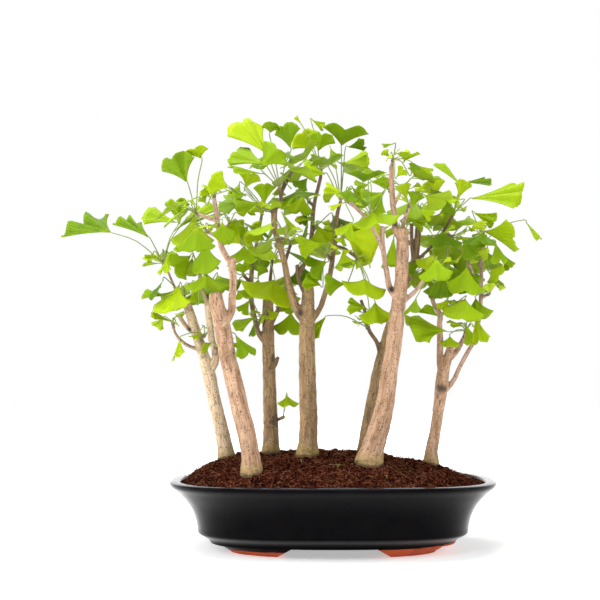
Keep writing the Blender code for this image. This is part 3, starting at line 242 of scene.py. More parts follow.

# The first colour of the soil and its crumbs is near black: painted shade for their hollows
SOIL_COLOURS = ((0.003, 0.0012, 0.001), (0.030, 0.007, 0.004), (0.075, 0.018, 0.009), (0.15, 0.055, 0.028))
CRUMB_COLOURS = ((0.003, 0.0012, 0.001), (0.026, 0.006, 0.003), (0.085, 0.020, 0.010), (0.17, 0.070, 0.036))
# The first colour of the fibres and strands is their painted shade
FIBRE_COLOURS = ((0.026, 0.004, 0.002), (0.23, 0.058, 0.028), (0.52, 0.25, 0.15))
STRAND_COLOURS = ((0.070, 0.016, 0.008), (0.36, 0.160, 0.085), (0.66, 0.43, 0.28))

# What shows on the soil: roots that loop out, by place, half width, height and radius, and green sprouts
ROOTS = (((334, 466), 5, 3, 0.0004), ((403, 468), 2, 4, 0.0003), ((252, 470), 4, 3, 0.0005))
ROOT_WANDER = 0.003
ROOT_SINK = 1.5
SPROUTS = ((337, 467, 0.0026), (386, 477, 0.0022), (301, 462, 0.0024))

# The tray's finer wall, the height of the reflection painted along its lip, and the line below which its clay is
# bare, rising along it
FINE_AROUND = 144
LIP_HEIGHT = 0.0874
CLAY_LINE = 0.0062
CLAY_LINE_RISE = 0.030

# The heights on the tray's wall between which its gloss grows to its full strength
GLOSS_HEIGHTS = (0.014, 0.026)

# The room
FLOOR_HALF = 4.0
ROOM_LIGHT = 0.22
FLOOR_GLOW = 0.44
NEAR_FLOOR = 0.50
FAR_FLOOR = 1.40
BACKDROP_SHINE = 1.3
FRONT_SHINE = 0.05
LIGHTS = (("left_softbox", (-1.9, -0.7, 0.9), (0.9, 1.7), 34.0),
          ("right_softbox", (2.1, -0.6, 0.9), (0.8, 1.7), 26.0),
          ("top_softbox", (-0.3, -0.2, 2.2), (1.3, 1.3), 62.0),
          ("front_softbox", (-0.9, -2.3, 1.9), (1.0, 1.0), 24.0))
LENS = 77.3
TILT_UP = 2.534

UP = Vector((0.0, 0.0, 1.0))
TOWARDS_EYE = Vector((0.0, -1.0, 0.0))


def step_at(depth):
    """The size of one step of the front view's grid at this depth behind the tray's centre."""
    return GRID_STEP * (EYE_DISTANCE + depth) / EYE_DISTANCE


def seen(place, depth):
    """The point at this depth that the front view shows at this place, a column and a row."""
    step = step_at(depth)
    return Vector((EYE_X + (place[0] - GRID_COLUMN) * step, depth, EYE_Z - (place[1] - GRID_ROW) * step))


def place_of(point):
    """The column and row of the front view at which a point is seen."""
    step = step_at(point.y)
    return GRID_COLUMN + (point.x - EYE_X) / step, GRID_ROW - (point.z - EYE_Z) / step


def across(direction):
    """A unit vector at right angles to this direction, level where it can be."""
    level = direction.cross(UP)
    if level.length < 1e-3:
        level = direction.cross(TOWARDS_EYE)
    return level.normalized()


def skin_faces(rings, around):
    """The faces of a closed skin through so many rings with this many corners each."""
    faces = []
    for i in range(rings - 1):
        for k in range(around):
            a, b = i * around + k, i * around + (k + 1) % around
            faces.append((a, b, b + around, a + around))
    last = (rings - 1) * around
    return faces + [tuple(reversed(range(around))), tuple(range(last, last + around))]


def round_tube(points, radii, sides, fuller=1.0):
    """A tube's corners and faces, with how far round it and how far along it each corner lies."""
    verts = []
    places = []
    side = across(points[1] - points[0])
    along = 0.0
    for i, (point, radius) in enumerate(zip(points, radii)):
        ahead = (points[min(i + 1, len(points) - 1)] - points[max(i - 1, 0)]).normalized()
        side = (side - ahead * side.dot(ahead)).normalized()
        other = ahead.cross(side)
        along += (point - points[max(i - 1, 0)]).length
        for k in range(sides):
            turn = math.tau * k / sides
            verts.append(point + (side * math.cos(turn) + other * math.sin(turn)) * radius * fuller)
            places.append((k / sides, along))
    return verts, skin_faces(len(points), sides), places


def tube(points, radii, sides):
    """The corners and faces of a closed limb of few sides, with a round limb's girth."""
    return round_tube(points, radii, sides, math.pi / (sides * math.sin(math.pi / sides)))[:2]


def leaf_shape(stalk, axis, side, length, spread, seed, thickness, radius):
    """The vertices and faces of a leaf: a three-sided stalk that opens into a waved and notched fan."""
    draw = random.Random(seed)
    normal = side.cross(axis)
    half = normal * thickness / 2
    joint = stalk[-1]
    notch = draw.uniform(*NOTCH)
    rise = draw.uniform(*WAVE)
    verts = stalk_corners(stalk, axis, side, radius)
    left = len(verts)
    right = left + 1
    under = left + 2
    first = left + 3
    verts += [joint - side * NECK_HALF_WIDTH + half, joint + side * NECK_HALF_WIDTH + half, joint - half]
    faces = [(0, 2, 1)]
    for ring in range(len(stalk) - 1):
        for a, b in ((0, 1), (1, 2), (2, 0)):
            a += 3 * ring
            b += 3 * ring
            faces += [(a, b, b + 3), (a, b + 3, a + 3)]
    steps = BIG_EDGE_STEPS if length > BIG_LEAF else EDGE_STEPS
    middle = steps // 2
    for i in range(steps + 1):
        share = i / middle - 1
        turn = math.radians(spread) * share
        reach = LOBE_REACH - CORNER_FALL * share ** 2 + draw.uniform(-EDGE_UNEVEN, EDGE_UNEVEN)
        if i == middle:
            reach = LOBE_REACH - notch
        lift = rise * (-1) ** i - CUP * share ** 2
        along = axis * reach * math.cos(turn)
        wide = side * reach * math.sin(turn)
        edge = joint + (along + wide + normal * lift) * length
        verts += [edge + half, edge - half]
    for i in range(steps):
        top = first + 2 * i
        below = top + 1
        faces.append((left if i < middle else right, top + 2, top))
        faces.append((under, below, below + 2))
        faces += [(top, top + 2, below + 2), (top, below + 2, below)]
    last = first + 2 * steps
    faces.append((left, right, first + 2 * middle))
    faces += [(left, first, first + 1), (left, first + 1, under)]
    faces += [(right, last + 1, last), (right, under, last + 1)]
    return verts, faces


def stalk_corners(stalk, axis, side, radius):
    """The three corners of the stalk at each of its points before the blade, turned as the blade is."""
    ways = [(b - a).normalized() for a, b in zip(stalk, stalk[1:])]
    corners = []
    ahead = axis
    for i in range(len(stalk) - 2, -1, -1):
        way = (ways[i] + ways[max(i - 1, 0)]).normalized()
        side = ahead.rotation_difference(way) @ side
        ahead = way
        up = side.cross(ahead) * radius
        wide = side * radius * math.sin(math.tau / 3)
        corners = [stalk[i] - wide + up / 2, stalk[i] + wide + up / 2, stalk[i] - up] + corners
    return corners


def stalk_points(hub, out, joint, axis):
    """The curve of a leaf stalk from inside the hub to its blade, which it meets along the blade's axis."""
    neck = joint - axis * STALK_NECK
    reach = (neck - hub).length
    behind = max(0.0, -(neck - hub).normalized().dot(out))
    bow = out * (STALK_BOW + STALK_BOW_BACK * behind) + UP * STALK_ARCH
    middle = hub.lerp(neck, 0.5) + bow * reach
    root = hub + (middle - hub).normalized() * HUB_RADIUS * 0.5
    bent = reach > SHORT_STALK or behind > 0
    return [root, middle, neck, joint] if bent else [root, neck, joint]


def nearest_on(limbs, place):
    """The point on the centre lines of these limbs that the front view shows nearest to a place."""
    best = None
    for points, radii, sides in limbs:
        for a, b in zip(points, points[1:]):
            for k in range(9):
                point = a.lerp(b, k / 8)
                column, row = place_of(point)
                away = math.hypot(column - place[0], row - place[1])
                if best is None or away < best[0]:
                    best = (away, point)
    return best[1]


class Leaf:
    """One leaf from its row: where its blade joins its stalk, and how the blade lies."""

    def __init__(self, row):
        self.joint = row[:2]
        self.corners = (row[2:4], row[4:6]) if len(row) == 9 else None
        if self.corners:
            self.spread, self.near, self.away = row[6:]
        else:
            self.tip = row[2:4]
            self.spread, self.roll, self.lean, self.near = row[4:]

    def stand(self, hub, shift, turn):
        """The joint, axis, side and length of the blade, moved in depth by the shift and rolled by the turn."""
        joint = seen(self.joint, hub.y - self.near / 1000 + shift)
        if self.corners:
            return self.between_corners(joint, turn)
        flat = seen(self.tip, joint.y)
        tip = seen(self.tip, joint.y - (flat - joint).length * math.tan(math.radians(self.lean)))
        axis = (tip - joint).normalized()
        side = axis.cross(TOWARDS_EYE).normalized()
        side = Matrix.Rotation(math.radians(self.roll + turn), 3, axis) @ side
        return joint, axis, side, (tip - joint).length

    def between_corners(self, joint, turn):
        """The lie of a true cupped fan whose two corners are seen where they are given."""
        flat = [seen(corner, joint.y) - joint for corner in self.corners]
        drop = Vector()
        for _ in range(CORNER_ROUNDS):
            axis, side, length = self.fan_through(flat[0] + drop, flat[1] + drop)
            drop = side.cross(axis) * CUP * length
            drop.y = 0.0
        return joint, axis, Matrix.Rotation(math.radians(turn), 3, axis) @ side, length

    def fan_through(self, first, second):
        """The axis, side and length of the flat fan whose corners, seen from the eye, are these."""
        half = math.radians(self.spread)
        along = (first + second) / (2 * CORNER_REACH * math.cos(half))
        wide = (second - first) / (2 * CORNER_REACH * math.sin(half))
        long = along.length_squared
        broad = wide.length_squared
        square = (long + broad + math.hypot(long - broad, 2 * along.dot(wide))) / 2
        forth = 1 if self.away else -1
        wide.y = -forth * math.copysign(math.sqrt(max(0.0, square - broad)), along.dot(wide))
        along.y = forth * math.sqrt(max(0.0, square - long))
        axis = along.normalized()
        side = (wide - axis * wide.dot(axis)).normalized()
        if side.cross(axis).dot(TOWARDS_EYE) < 0:
            side = -side
        return axis, side, math.sqrt(square)


class Spray:
    """A spur's leaves: the bud at its tip, the leaves of its rows and the number of others."""

    def __init__(self, name, hub, out, rows, more):
        self.name = name
        self.hub = hub
        self.out = out
        self.leaves = [Leaf(row) for row in rows]
        self.more = more
        self.placed = []


class Tree:
    """One tree: its woody limbs and its leaf sprays."""

    def __init__(self, number, trunk, foot_depth, top_depth, branches, sprays):
        self.name = f"tree_{number}"
        self.limbs = []
        self.sprays = []
        points, radii = course(trunk, foot_depth, top_depth)
        foot = Vector((points[0].x * 0.93, points[0].y * 0.85, points[0].z - TRUNK_SOCKET_DEPTH))
        sides = THICK_SIDES if trunk[0][2] > THICK_TRUNK else THIN_SIDES
        self.limbs.append(([foot] + points, [radii[0]] + radii, sides))
        for away, *stations in branches:
            start = nearest_on(self.limbs, stations[0])
            points, radii = course(stations, start.y, start.y + away / 1000)
            points[0] = start
            self.limbs.append((points, radii, BRANCH_SIDES))
        for root, tip, away, more, *rows in sprays:
            start = nearest_on(self.limbs, root)
            end = seen(tip, start.y + away / 1000)
            self.limbs.append(([start, end], [SPUR_RADIUS * 1.2, SPUR_RADIUS], SPUR_SIDES))
            out = (end - start).normalized()
            hub = end + out * (GAP + HUB_LENGTH / 2)
            self.sprays.append(Spray(f"{self.name}_spray_{len(self.sprays) + 1}", hub, out, rows, more))


def course(stations, first_depth, last_depth):
    """The points and radii of a limb through these stations, between two depths."""
    points = []
    radii = []
    for i, (column, row, width) in enumerate(stations):
        depth = first_depth + (last_depth - first_depth) * i / (len(stations) - 1)
        points.append(seen((column, row), depth))
        radii.append(width * step_at(depth) / 2)
    return points, radii


# The trees. Each has its trunk's stations of column, row and width, from its foot in the soil to its cut
# top, the depths of its foot and top, its branches and its sprays. A branch starts at the limb nearest to
# its first station and ends so many millimetres further back, its first number. A spray's spur runs from
# the limb nearest to its first place to its second place, so many millimetres further back, and bears so
# many leaves placed by rule beside those of its rows. A row of eight is a leaf's joint and tip, its spread,
# roll and lean in degrees, and how many millimetres nearer than its bud it is. A row of nine is a leaf's
# joint and its two corners, its spread, how many millimetres nearer it is, and 1 where it reaches away from
# the eye
PLANTING = (
    # Tree 1: the thin leaning one at the left, behind tree 2
    (((228, 460, 16), (224, 440, 15), (219.5, 420, 14), (214.5, 400, 13), (210.5, 380, 13), (207, 366, 13),
      (204, 356, 11), (197, 335, 10), (187, 304, 9)),
     0.020, 0.015,
     ((-12, (210, 372, 9), (215, 362, 8), (215, 352, 7), (211, 335, 7), (207, 300, 6.5)),
      (8, (193, 336, 5), (186, 326, 4.5), (178, 314, 4)),
      (-6, (195, 352, 4), (187, 345, 3.5), (177, 336, 3), (173, 327, 2.5)),
      (-14, (189, 312, 4), (180, 298, 3.2), (173, 284, 2.8), (167, 270, 2.6)),
      (-20, (207, 306, 4.5), (203, 292, 3.6), (200, 278, 3))),
     (((167, 270), (164, 265), 0, 1, (110, 232, 58, 240, 102, 212, 36, 0, 1),
       (148, 237, 110, 226, 136, 221, 28, 10, 1), (157, 257, 142, 258, 149, 254, 26, 14, 0),
       (160, 263, 145, 266, 148, 259, 40, 0, 0), (175, 222, 144, 226, 153, 206, 34, 16, 1),
       (179, 223, 165, 204, 191, 204, 38, 2, 0), (168, 257, 158, 273, 173, 271, 34, 22, 0)),
      ((203, 286), (200, 274), -6, 1, (206, 242, 190, 263, 223, 262, 52, 24, 0),
       (190, 256, 173, 268, 44, 12, 25, 12), (182, 236, 184, 250, 44, 0, 20, 4),
       (206, 274, 184, 287, 229, 286, 58, 34, 0), (196, 302, 190, 297, 52, 40, 15, 0)),
      ((188, 305), (185, 299), -5, 1, (179, 285, 152, 306, 195, 303, 56, 24, 0),
       (164, 296, 138, 299, 154, 290, 20, 6, 1)),
      ((173, 328), (173, 325), 0, 0, (172, 322, 155, 321, 156, 314, 40, 0, 0)),
      ((197, 341), (203, 337), -4, 0, (180, 339, 173, 361, 187, 352, 30, 16, 0)),
      ((215, 354), (216, 349), -7, 0, (227, 325, 197, 343, 232, 351, 50, 98, 0),
       (236, 336, 235, 357, 255, 350, 38, 95, 0)),
      ((209, 318), (205, 296), 46, 5))),
    # Tree 2: the pale thick trunk in front at the left, with its forked right branch
    (((252.5, 480, 21), (251.5, 465, 19.5), (250, 450, 18.5), (246, 430, 18.5), (240.5, 410, 18),
      (236, 390, 17.3), (231, 370, 17), (226.5, 350, 16.5), (223, 330, 17), (217, 305, 15), (215.5, 293, 13)),
     -0.088, -0.082,
     ((4, (228, 326, 9), (231, 312, 8), (232, 300, 7.5), (233, 280, 7.5), (231, 264, 7), (226, 256, 6),
       (221, 246, 5.5), (218.5, 230, 5.5), (216, 212, 5), (214, 200, 4.5)),
      (-4, (232, 270, 6), (234.5, 258, 5))),
     (((214, 203), (214, 197), -2, 1, (227, 187, 211, 178, 56, 25, 15, 6), (209, 196, 203, 188, 52, 30, 15, 4),
       (205, 202, 201, 196, 52, 10, 15, 2)),
      ((217, 222), (198, 214), 16, 2, (186, 181, 160, 168, 197, 157, 50, 0, 0),
       (200, 157, 185, 154, 209, 148, 60, 8, 0), (176, 229, 184, 214, 217, 208, 22, 14, 1)),
      ((219, 238), (208, 232), -14, 3),
      ((218.5, 232), (228, 225), 24, 2, (240, 243, 226, 228, 56, 15, 20, 0),
       (244, 246, 243, 262, 52, 0, 25, 0)))),
    # Tree 3: the brown one behind, with a dark branch to the left
    (((271.5, 456, 16.5), (271, 430, 15.5), (270, 400, 13.5), (269.5, 380, 13), (268.5, 350, 12.5),
      (268, 320, 11.5), (268, 298, 10.5)),
     0.012, 0.030,
     ((6, (264, 348, 6), (259, 334, 5.5), (255, 320, 5), (252, 305, 5), (251, 290, 5), (252, 265, 4.5),
       (253, 250, 4)),
      (16, (271, 330, 5), (277, 312, 4.5), (282, 303, 4), (286, 293, 3.5)),
      (-4, (272, 374, 5), (275, 365, 4.5), (278, 357, 3.5))),
     (((253, 253), (256, 246), -5, 1, (264, 240, 249, 229, 49, 10, 15, 6), (247, 239, 231, 228, 51, 12, 15, 20),
       (246, 240, 246, 254, 70, 0, 30, 10), (274, 280, 268, 301, 72, 10, 45, 24),
       (258, 280, 256, 297, 49, 0, 40, 8)),
      ((251, 284), (245, 277), -4, 0, (243, 273, 242, 263, 72, 0, -15, 2), (238, 291, 243, 297, 72, 0, 20, 6),
       (258, 276, 264, 267, 42, 30, 15, 0)),
      ((257, 327), (260, 321), -8, 0, (256, 317, 236, 320, 244, 333, 44, 4, 0),
       (254, 324, 249, 335, 257, 335, 34, 14, 0), (249, 301, 241, 312, 35, 20, 10, 0)),
      ((285, 295), (288, 289), 4, 2, (287, 301, 284, 312, 49, 0, 20, 6), (291, 313, 288, 334, 51, 0, 15, 14)),
      ((272, 424), (281, 418), -4, 0, (287, 396, 277, 403, 299, 404, 52, 0, 0)),
      ((268, 300), (272, 262), 28, 4),
      ((252, 268), (262, 212), 46, 5))),
    # Tree 4: the upright one in the middle, which carries the highest leaves
    (((307.5, 460, 21.5), (308, 440, 19), (308.5, 420, 18), (308, 400, 17.5), (307.5, 380, 17),
      (307, 350, 16.2), (307, 320, 15.2), (308, 300, 13), (308, 287, 11.5)),
     -0.020, -0.010,
     ((-22, (302, 322, 10), (296, 307, 9), (288, 281, 7), (285, 265, 6), (281, 250, 6), (275, 230, 6),
       (274, 215, 6.2), (275, 207, 6.5), (280, 200, 4), (282, 190, 3.4), (285, 179, 2.8)),
      (14, (302, 300, 5), (299, 280, 4.5), (297, 265, 4)),
      (44, (299, 276, 4.5), (305, 262, 4.5), (309, 250, 4.5), (312, 232, 4.5), (313, 215, 4.2), (315, 200, 4),
       (318, 188, 3.8), (321, 176, 3.4)),
      (8, (312, 326, 7), (319, 310, 5.5), (324, 297, 5.5), (330, 275, 5.2), (333, 255, 5), (335, 240, 4.8),
       (336, 225, 4.4), (338, 210, 4)),
      (-16, (334, 246, 3.5), (344, 248, 3), (350, 252, 2.8))),
     (((275, 211), (268, 210), -3, 1, (258, 203, 236, 205, 39, 38, 15, 8), (264, 203, 264, 184, 35, 5, -5, 2),
       (246, 186, 251, 172, 51, 8, 15, 14), (239, 184, 233, 196, 42, 30, 15, 0)),
      ((281, 196), (280, 190), -4, 1, (266, 152, 225, 135, 262, 121, 34, 2, 1),
       (263, 163, 228, 165, 248, 143, 30, 22, 1), (262, 165, 277, 147, 49, -14, 15, 30),
       (270, 131, 272, 121, 72, 25, 15, 10), (290, 146, 275, 132, 301, 129, 50, 6, 0),
       (262, 173, 230, 168, 240, 179, 24, 14, 0)),
      ((321, 178), (321, 172), -3, 1, (306, 158, 302, 150, 72, 0, 66, 4), (312, 149, 301, 132, 56, 20, 10, -4),
       (319, 149, 322, 132, 58, -10, 15, 10), (307, 178, 298, 187, 44, 22, 15, 22),
       (313, 119, 323, 126, 26, 45, 15, 0), (300, 121, 296, 115, 28, 40, 15, 4)),
      ((315, 206), (310, 202), -6, 1, (303, 196, 299, 213, 49, 0, 20, 12), (296, 192, 288, 209, 35, 10, 15, 6),
       (307, 208, 303, 223, 19, 0, 10, 2)),
      ((313, 232), (315, 228), -10, 2, (318, 226, 326, 244, 56, -8, 15, 4)),
      ((338, 212), (340, 204), -4, 1, (328, 164, 327, 157, 74, 0, 68, 20),
       (342, 144, 321, 127, 368, 134, 50, 6, 0), (349, 146, 365, 144, 39, 60, 15, 2),
       (345, 162, 367, 156, 35, -40, 10, -6), (325, 173, 306, 167, 39, 38, 20, 12),
       (331, 148, 335, 160, 35, 25, 15, -12)),
      ((335, 242), (341, 239), -6, 1, (346, 234, 374, 249, 51, 10, 25, 4), (350, 229, 372, 228, 46, 20, 15, -6)),
      ((350, 252), (355, 256), -3, 1, (365, 279, 364, 297, 77, 4, 36, 20), (344, 284, 326, 284, 39, 15, 20, 8),
       (375, 303, 377, 322, 56, -6, 20, 10), (366, 308, 349, 305, 32, 20, 15, 4)),
      ((332, 260), (328, 256), -8, 1, (322, 244, 299, 245, 37, 32, 20, 14), (326, 262, 309, 268, 51, 20, 25, 4),
       (320, 285, 306, 278, 49, 30, 15, 8), (343, 252, 345, 268, 46, 20, 15, 4)),
      ((285, 262), (290, 246), 26, 4),
      ((278, 241), (285, 238), -22, 3, (287, 225, 286, 235, 67, 0, 25, -14),
       (283, 214, 291, 229, 16, 20, 15, -20)),
      ((282, 190), (292, 170), 34, 4))),
    # Tree 5: the brown one that stands behind tree 6
    (((363, 455, 12), (366, 430, 11.5), (370, 410, 11.5), (374, 390, 11), (378, 370, 11), (386, 340, 10),
      (395, 310, 9), (405, 285, 8), (415, 258, 7), (418, 236, 6.5), (419, 223, 6)),
     0.048, 0.040,
     ((-10, (381, 358, 5), (377, 343, 4.2), (369, 330, 4), (366, 315, 3.8), (361, 300, 3.4)),
      (-8, (414, 260, 4.5), (412, 240, 4), (412, 223, 3.8)),
      (-14, (413, 264, 4), (424, 254, 3.4), (433, 245, 3), (443, 232, 2.8), (450, 221, 2.6))),
     (((371, 333), (368, 329), -5, 0, (325, 318, 310, 333, 28, 30, 10, 34), (361, 312, 354, 306, 35, 30, 15, 0)),
      ((450, 222), (452, 217), -3, 1, (473, 198, 517, 183, 509, 215, 36, 8, 0),
       (461, 184, 434, 165, 452, 166, 24, -4, 1), (464, 182, 496, 184, 481, 178, 18, 2, 1),
       (459, 197, 453, 183, 472, 185, 46, -2, 0), (437, 197, 431, 180, 53, 10, 10, 6),
       (441, 213, 452, 206, 44, 10, 25, 24), (462, 199, 447, 197, 35, 50, 15, 18)),
      ((418, 228), (419, 217), -4, 2, (410, 219, 424, 226, 28, 30, 15, 26)),
      ((433, 245), (434, 240), -9, 1, (433, 254, 431, 270, 65, 0, 20, 20), (419, 263, 407, 269, 39, 10, 15, 14)),
      ((443, 232), (447, 240), -6, 1, (462, 237, 480, 250, 49, -10, 25, 30),
       (447, 264, 456, 295, 56, 6, 25, 24), (447, 286, 429, 289, 39, 10, 25, 30)),
      ((405, 286), (412, 276), 20, 3),
      ((443, 232), (452, 236), 32, 4),
      ((416, 250), (404, 236), 34, 3, (394, 238, 384, 266, 402, 264, 30, 6, 0)))),
    # Tree 6: the thickest trunk, leaning to the right in front
    (((368, 466, 26), (370, 456, 24), (375, 440, 22), (379.5, 425, 21), (384, 408, 18.5), (387, 390, 17.3),
      (389.5, 370, 16.4), (393, 350, 16), (396, 325, 15.8), (398.5, 305, 14.5), (401, 285, 13.4),
      (402.5, 260, 12.8), (403, 229, 12)),
     -0.060, -0.050,
     ((-2, (400, 240, 8), (396, 230, 6.5), (394.5, 215, 6), (393, 200, 5.8), (392, 180, 5.6), (392, 165, 5)),
      (6, (402, 236, 5), (404, 222, 4.2), (408, 211, 3.6)),
      (6, (400, 306, 6), (410, 296, 4.5), (418, 288, 4), (430, 271, 3.2)),
      (-6, (396, 300, 8), (390, 288, 6), (387, 273, 5.4), (384.5, 258, 5.2), (382.5, 240, 5), (383, 226, 4.6)),
      (-10, (384, 252, 5), (378, 238, 4.2), (370, 223, 4), (361, 212, 3.8), (352, 204, 3.4))),
     (((392, 167), (393, 161), -2, 1, (393, 143, 384, 144, 28, 50, 15, 2),
       (405, 160, 396, 154, 421, 153, 48, 4, 0), (398, 175, 405, 168, 46, 10, 15, 6),
       (412, 172, 417, 164, 49, 25, 15, 10), (421, 166, 432, 171, 16, 30, 15, 10)),
      ((408, 213), (409, 207), -3, 2, (407, 198, 404, 184, 39, 25, 15, 4), (413, 206, 417, 192, 39, -20, 15, 8),
       (421, 209, 432, 216, 30, 20, 15, 12)),
      ((352, 204), (348, 201), -2, 1, (344, 193, 327, 186, 26, 35, 15, 4), (342, 203, 331, 207, 21, 40, 15, 2),
       (352, 222, 344, 236, 42, 12, 20, 4)),
      ((370, 223), (371, 218), -6, 1, (364, 181, 345, 174, 386, 173, 54, 12, 0),
       (383, 192, 368, 205, 56, 8, 15, -8), (368, 184, 356, 186, 39, 30, 15, -10),
       (372, 181, 386, 182, 32, 35, 15, -4)),
      ((429, 272), (433, 268), -4, 1, (416, 299, 403, 314, 421, 311, 36, 8, 0),
       (436, 281, 446, 276, 35, 30, 15, 0)),
      ((394, 205), (402, 190), 26, 3))),
    # Tree 7: the short one at the right, forked above a dark knot
    (((430, 464, 15), (431, 450, 12.5), (435, 430, 11), (438, 410, 11), (439.5, 400, 11.5), (441, 388, 13),
      (443, 372, 12.5), (447, 360, 9), (451, 344, 7)),
     0.000, 0.004,
     ((-10, (442, 376, 8), (440, 362, 7), (440, 340, 6.5), (439.5, 325, 5.5), (440, 315, 5.5), (434, 304, 4.5),
       (432, 298, 4)),
      (8, (449, 362, 6), (455, 353, 5.5), (460, 345, 5), (464, 337, 4)),
      (10, (443, 394, 7), (452, 382, 4.8), (460, 366, 4.5), (467, 353, 4.5), (473, 343, 4.4), (476, 334, 4.2),
       (480, 315, 4.2), (481, 300, 4.2), (481.5, 285, 4), (482, 258, 3.6)),
      (-12, (481, 286, 3), (475, 277, 2.6), (471, 267, 2.4)),
      (-6, (482, 262, 3), (484, 247, 2.6))),
     (((440, 316), (445, 312), -5, 0, (438, 316, 419, 311, 432, 305, 40, 8, 0),
       (465, 299, 462, 319, 60, 6, 30, 24), (447, 300, 443, 310, 49, 0, 15, 14)),
      ((464, 338), (465, 333), -3, 0, (446, 331, 421, 317, 425, 347, 58, 12, 0),
       (464, 326, 449, 321, 452, 329, 26, 4, 0), (450, 337, 450, 347, 60, 0, 30, 12),
       (466, 326, 472, 342, 28, 0, 10, 4), (476, 318, 472, 342, 490, 337, 28, 10, 0)),
      ((481, 298), (487, 295), -4, 1, (476, 299, 462, 316, 492, 311, 50, 16, 0)),
      ((471, 268), (469, 264), -3, 1, (467, 268, 465, 292, 46, -5, 25, 12)),
      ((484, 248), (485, 243), -3, 1, (485, 231, 503, 221, 516, 250, 40, 6, 0),
       (476, 213, 494, 221, 26, 25, 15, -6), (496, 243, 488, 262, 508, 260, 34, 10, 0),
       (527, 222, 532, 241, 542, 239, 22, -4, 0), (491, 270, 501, 277, 72, 0, 10, 2),
       (503, 254, 510, 267, 26, 20, 15, -4)),
      ((481, 290), (470, 284), 32, 4),
      ((482, 268), (476, 256), 40, 4))))

# The crown's outline in the front view, which the leaves placed by rule stay inside
CROWN = ((143, 262), (146, 206), (184, 200), (200, 176), (226, 164), (228, 140), (275, 124), (330, 122),
         (368, 128), (376, 164), (420, 164), (462, 180), (500, 206), (516, 240), (508, 282), (490, 300),
         (486, 340), (410, 340), (408, 318), (350, 314), (320, 290), (296, 300), (290, 330), (236, 330),
         (232, 300), (152, 312))

# Openings in the crown where the front view shows through: the lowest and highest column and row of each
OPENINGS = ((186, 226, 158, 178), (222, 248, 170, 181), (236, 258, 208, 220), (284, 298, 214, 240),
            (320, 346, 190, 200), (318, 330, 208, 222), (340, 352, 244, 252), (148, 170, 226, 244),
            (378, 391, 140, 166), (454, 470, 196, 212), (282, 296, 258, 276), (232, 238, 262, 330),
            (205, 232, 296, 330), (300, 316, 288, 330), (398, 410, 232, 330), (388, 397, 165, 222),
            (298, 372, 288, 330), (172, 200, 316, 336))


def inside_crown(place):
    """Whether a place of the front view lies in the crown's outline and in none of its openings."""
    column, row = place
    inside = False
    for (x0, y0), (x1, y1) in zip(CROWN, CROWN[1:] + CROWN[:1]):
        if (y0 > row) != (y1 > row) and column < x0 + (row - y0) * (x1 - x0) / (y1 - y0):
            inside = not inside
    return inside and not any(x0 < column < x1 and y0 < row < y1 for x0, x1, y0, y1 in OPENINGS)


class Room:
    """The space already taken by wood, buds and leaves, tested with their surfaces."""

    def __init__(self):
        self.taken = []

    def add(self, owner, verts, faces):
        self.taken.append((owner, bounds(verts), BVHTree.FromPolygons(verts, faces)))

    def clear(self, owners_left_out, verts, faces):
        low, high = bounds(verts)
        mine = None
        for owner, (other_low, other_high), tree in self.taken:
            apart = any(low[k] > other_high[k] or high[k] < other_low[k] for k in range(3))
            if owner in owners_left_out or apart:
                continue
            mine = mine or BVHTree.FromPolygons(verts, faces)
            if mine.overlap(tree):
                return False
        return True


def bounds(verts):
    """The lowest and the highest place of these corners along each axis."""
    return ([min(v[k] for v in verts) for k in range(3)], [max(v[k] for v in verts) for k in range(3)])


def try_leaf(room, spray, joint, axis, side, length, spread, seed):
    """Takes the leaf into its spray if its blade and stalk are clear of the others, and says if it was."""
    stalk = stalk_points(spray.hub, spray.out, joint, axis)
    lie = ([joint - axis * BLADE_ROOT, joint], axis, side, length, spread, seed)
    if not room.clear((), *leaf_shape(*lie, BLADE_THICKNESS + 2 * LEAF_CLEARANCE, NECK_HALF_WIDTH)):
        return False
    stalk[0] += (stalk[1] - stalk[0]).normalized() * HUB_LENGTH / 2
    stalk[-1] = joint - axis * 2 * BLADE_ROOT
    if not room.clear((spray.name,), *tube(stalk, [STALK_RADIUS + LEAF_CLEARANCE / 2] * len(stalk), 4)):
        return False
    room.add(spray.name + "_blade", *leaf_shape(*lie, BLADE_THICKNESS, NECK_HALF_WIDTH))
    room.add(spray.name, *tube(stalk, [STALK_RADIUS] * len(stalk), 4))
    spray.placed.append((joint, axis, side, length, spread, seed))
    return True


def place_drawn_leaf(room, spray, leaf, seed):
    """Places one leaf of the list, moved in depth or turned where another takes its space."""
    for shift in LEAF_SHIFTS:
        for turn in LEAF_TURNS:
            if try_leaf(room, spray, *leaf.stand(spray.hub, shift, turn), leaf.spread, seed):
                return


def place_by_rule(room, spray, rule, allowed, draw, seed):
    """Places one leaf round its bud by a seeded draw, where it is allowed and has room."""
    for _ in range(RULED_TRIES):
        heading = draw.uniform(0, math.tau)
        level = Vector((math.cos(heading), math.sin(heading), 0.0))
        way = (level + UP * draw.uniform(*rule["rise"]) + spray.out * rule["outward"]).normalized()
        joint = spray.hub + way * draw.uniform(*rule["stalk"])
        droop = math.radians(draw.uniform(*rule["droop"]))
        axis = (level * math.cos(droop) - UP * math.sin(droop)).normalized()
        side = Matrix.Rotation(draw.uniform(-rule["turn"], rule["turn"]), 3, axis) @ across(axis)
        blade = (joint, axis, side, draw.uniform(*rule["length"]), draw.uniform(*rule["spread"]))
        if allowed(*blade) and try_leaf(room, spray, *blade, seed):
            return


def in_the_crown(joint, axis, side, length, spread):
    """Whether a flat fan's joint, middle and corners are seen inside the crown."""
    lean = math.radians(spread)
    corners = [joint + (axis * math.cos(t) + side * math.sin(t)) * length for t in (-lean, 0, lean)]
    return all(inside_crown(place_of(point)) for point in [joint] + corners)


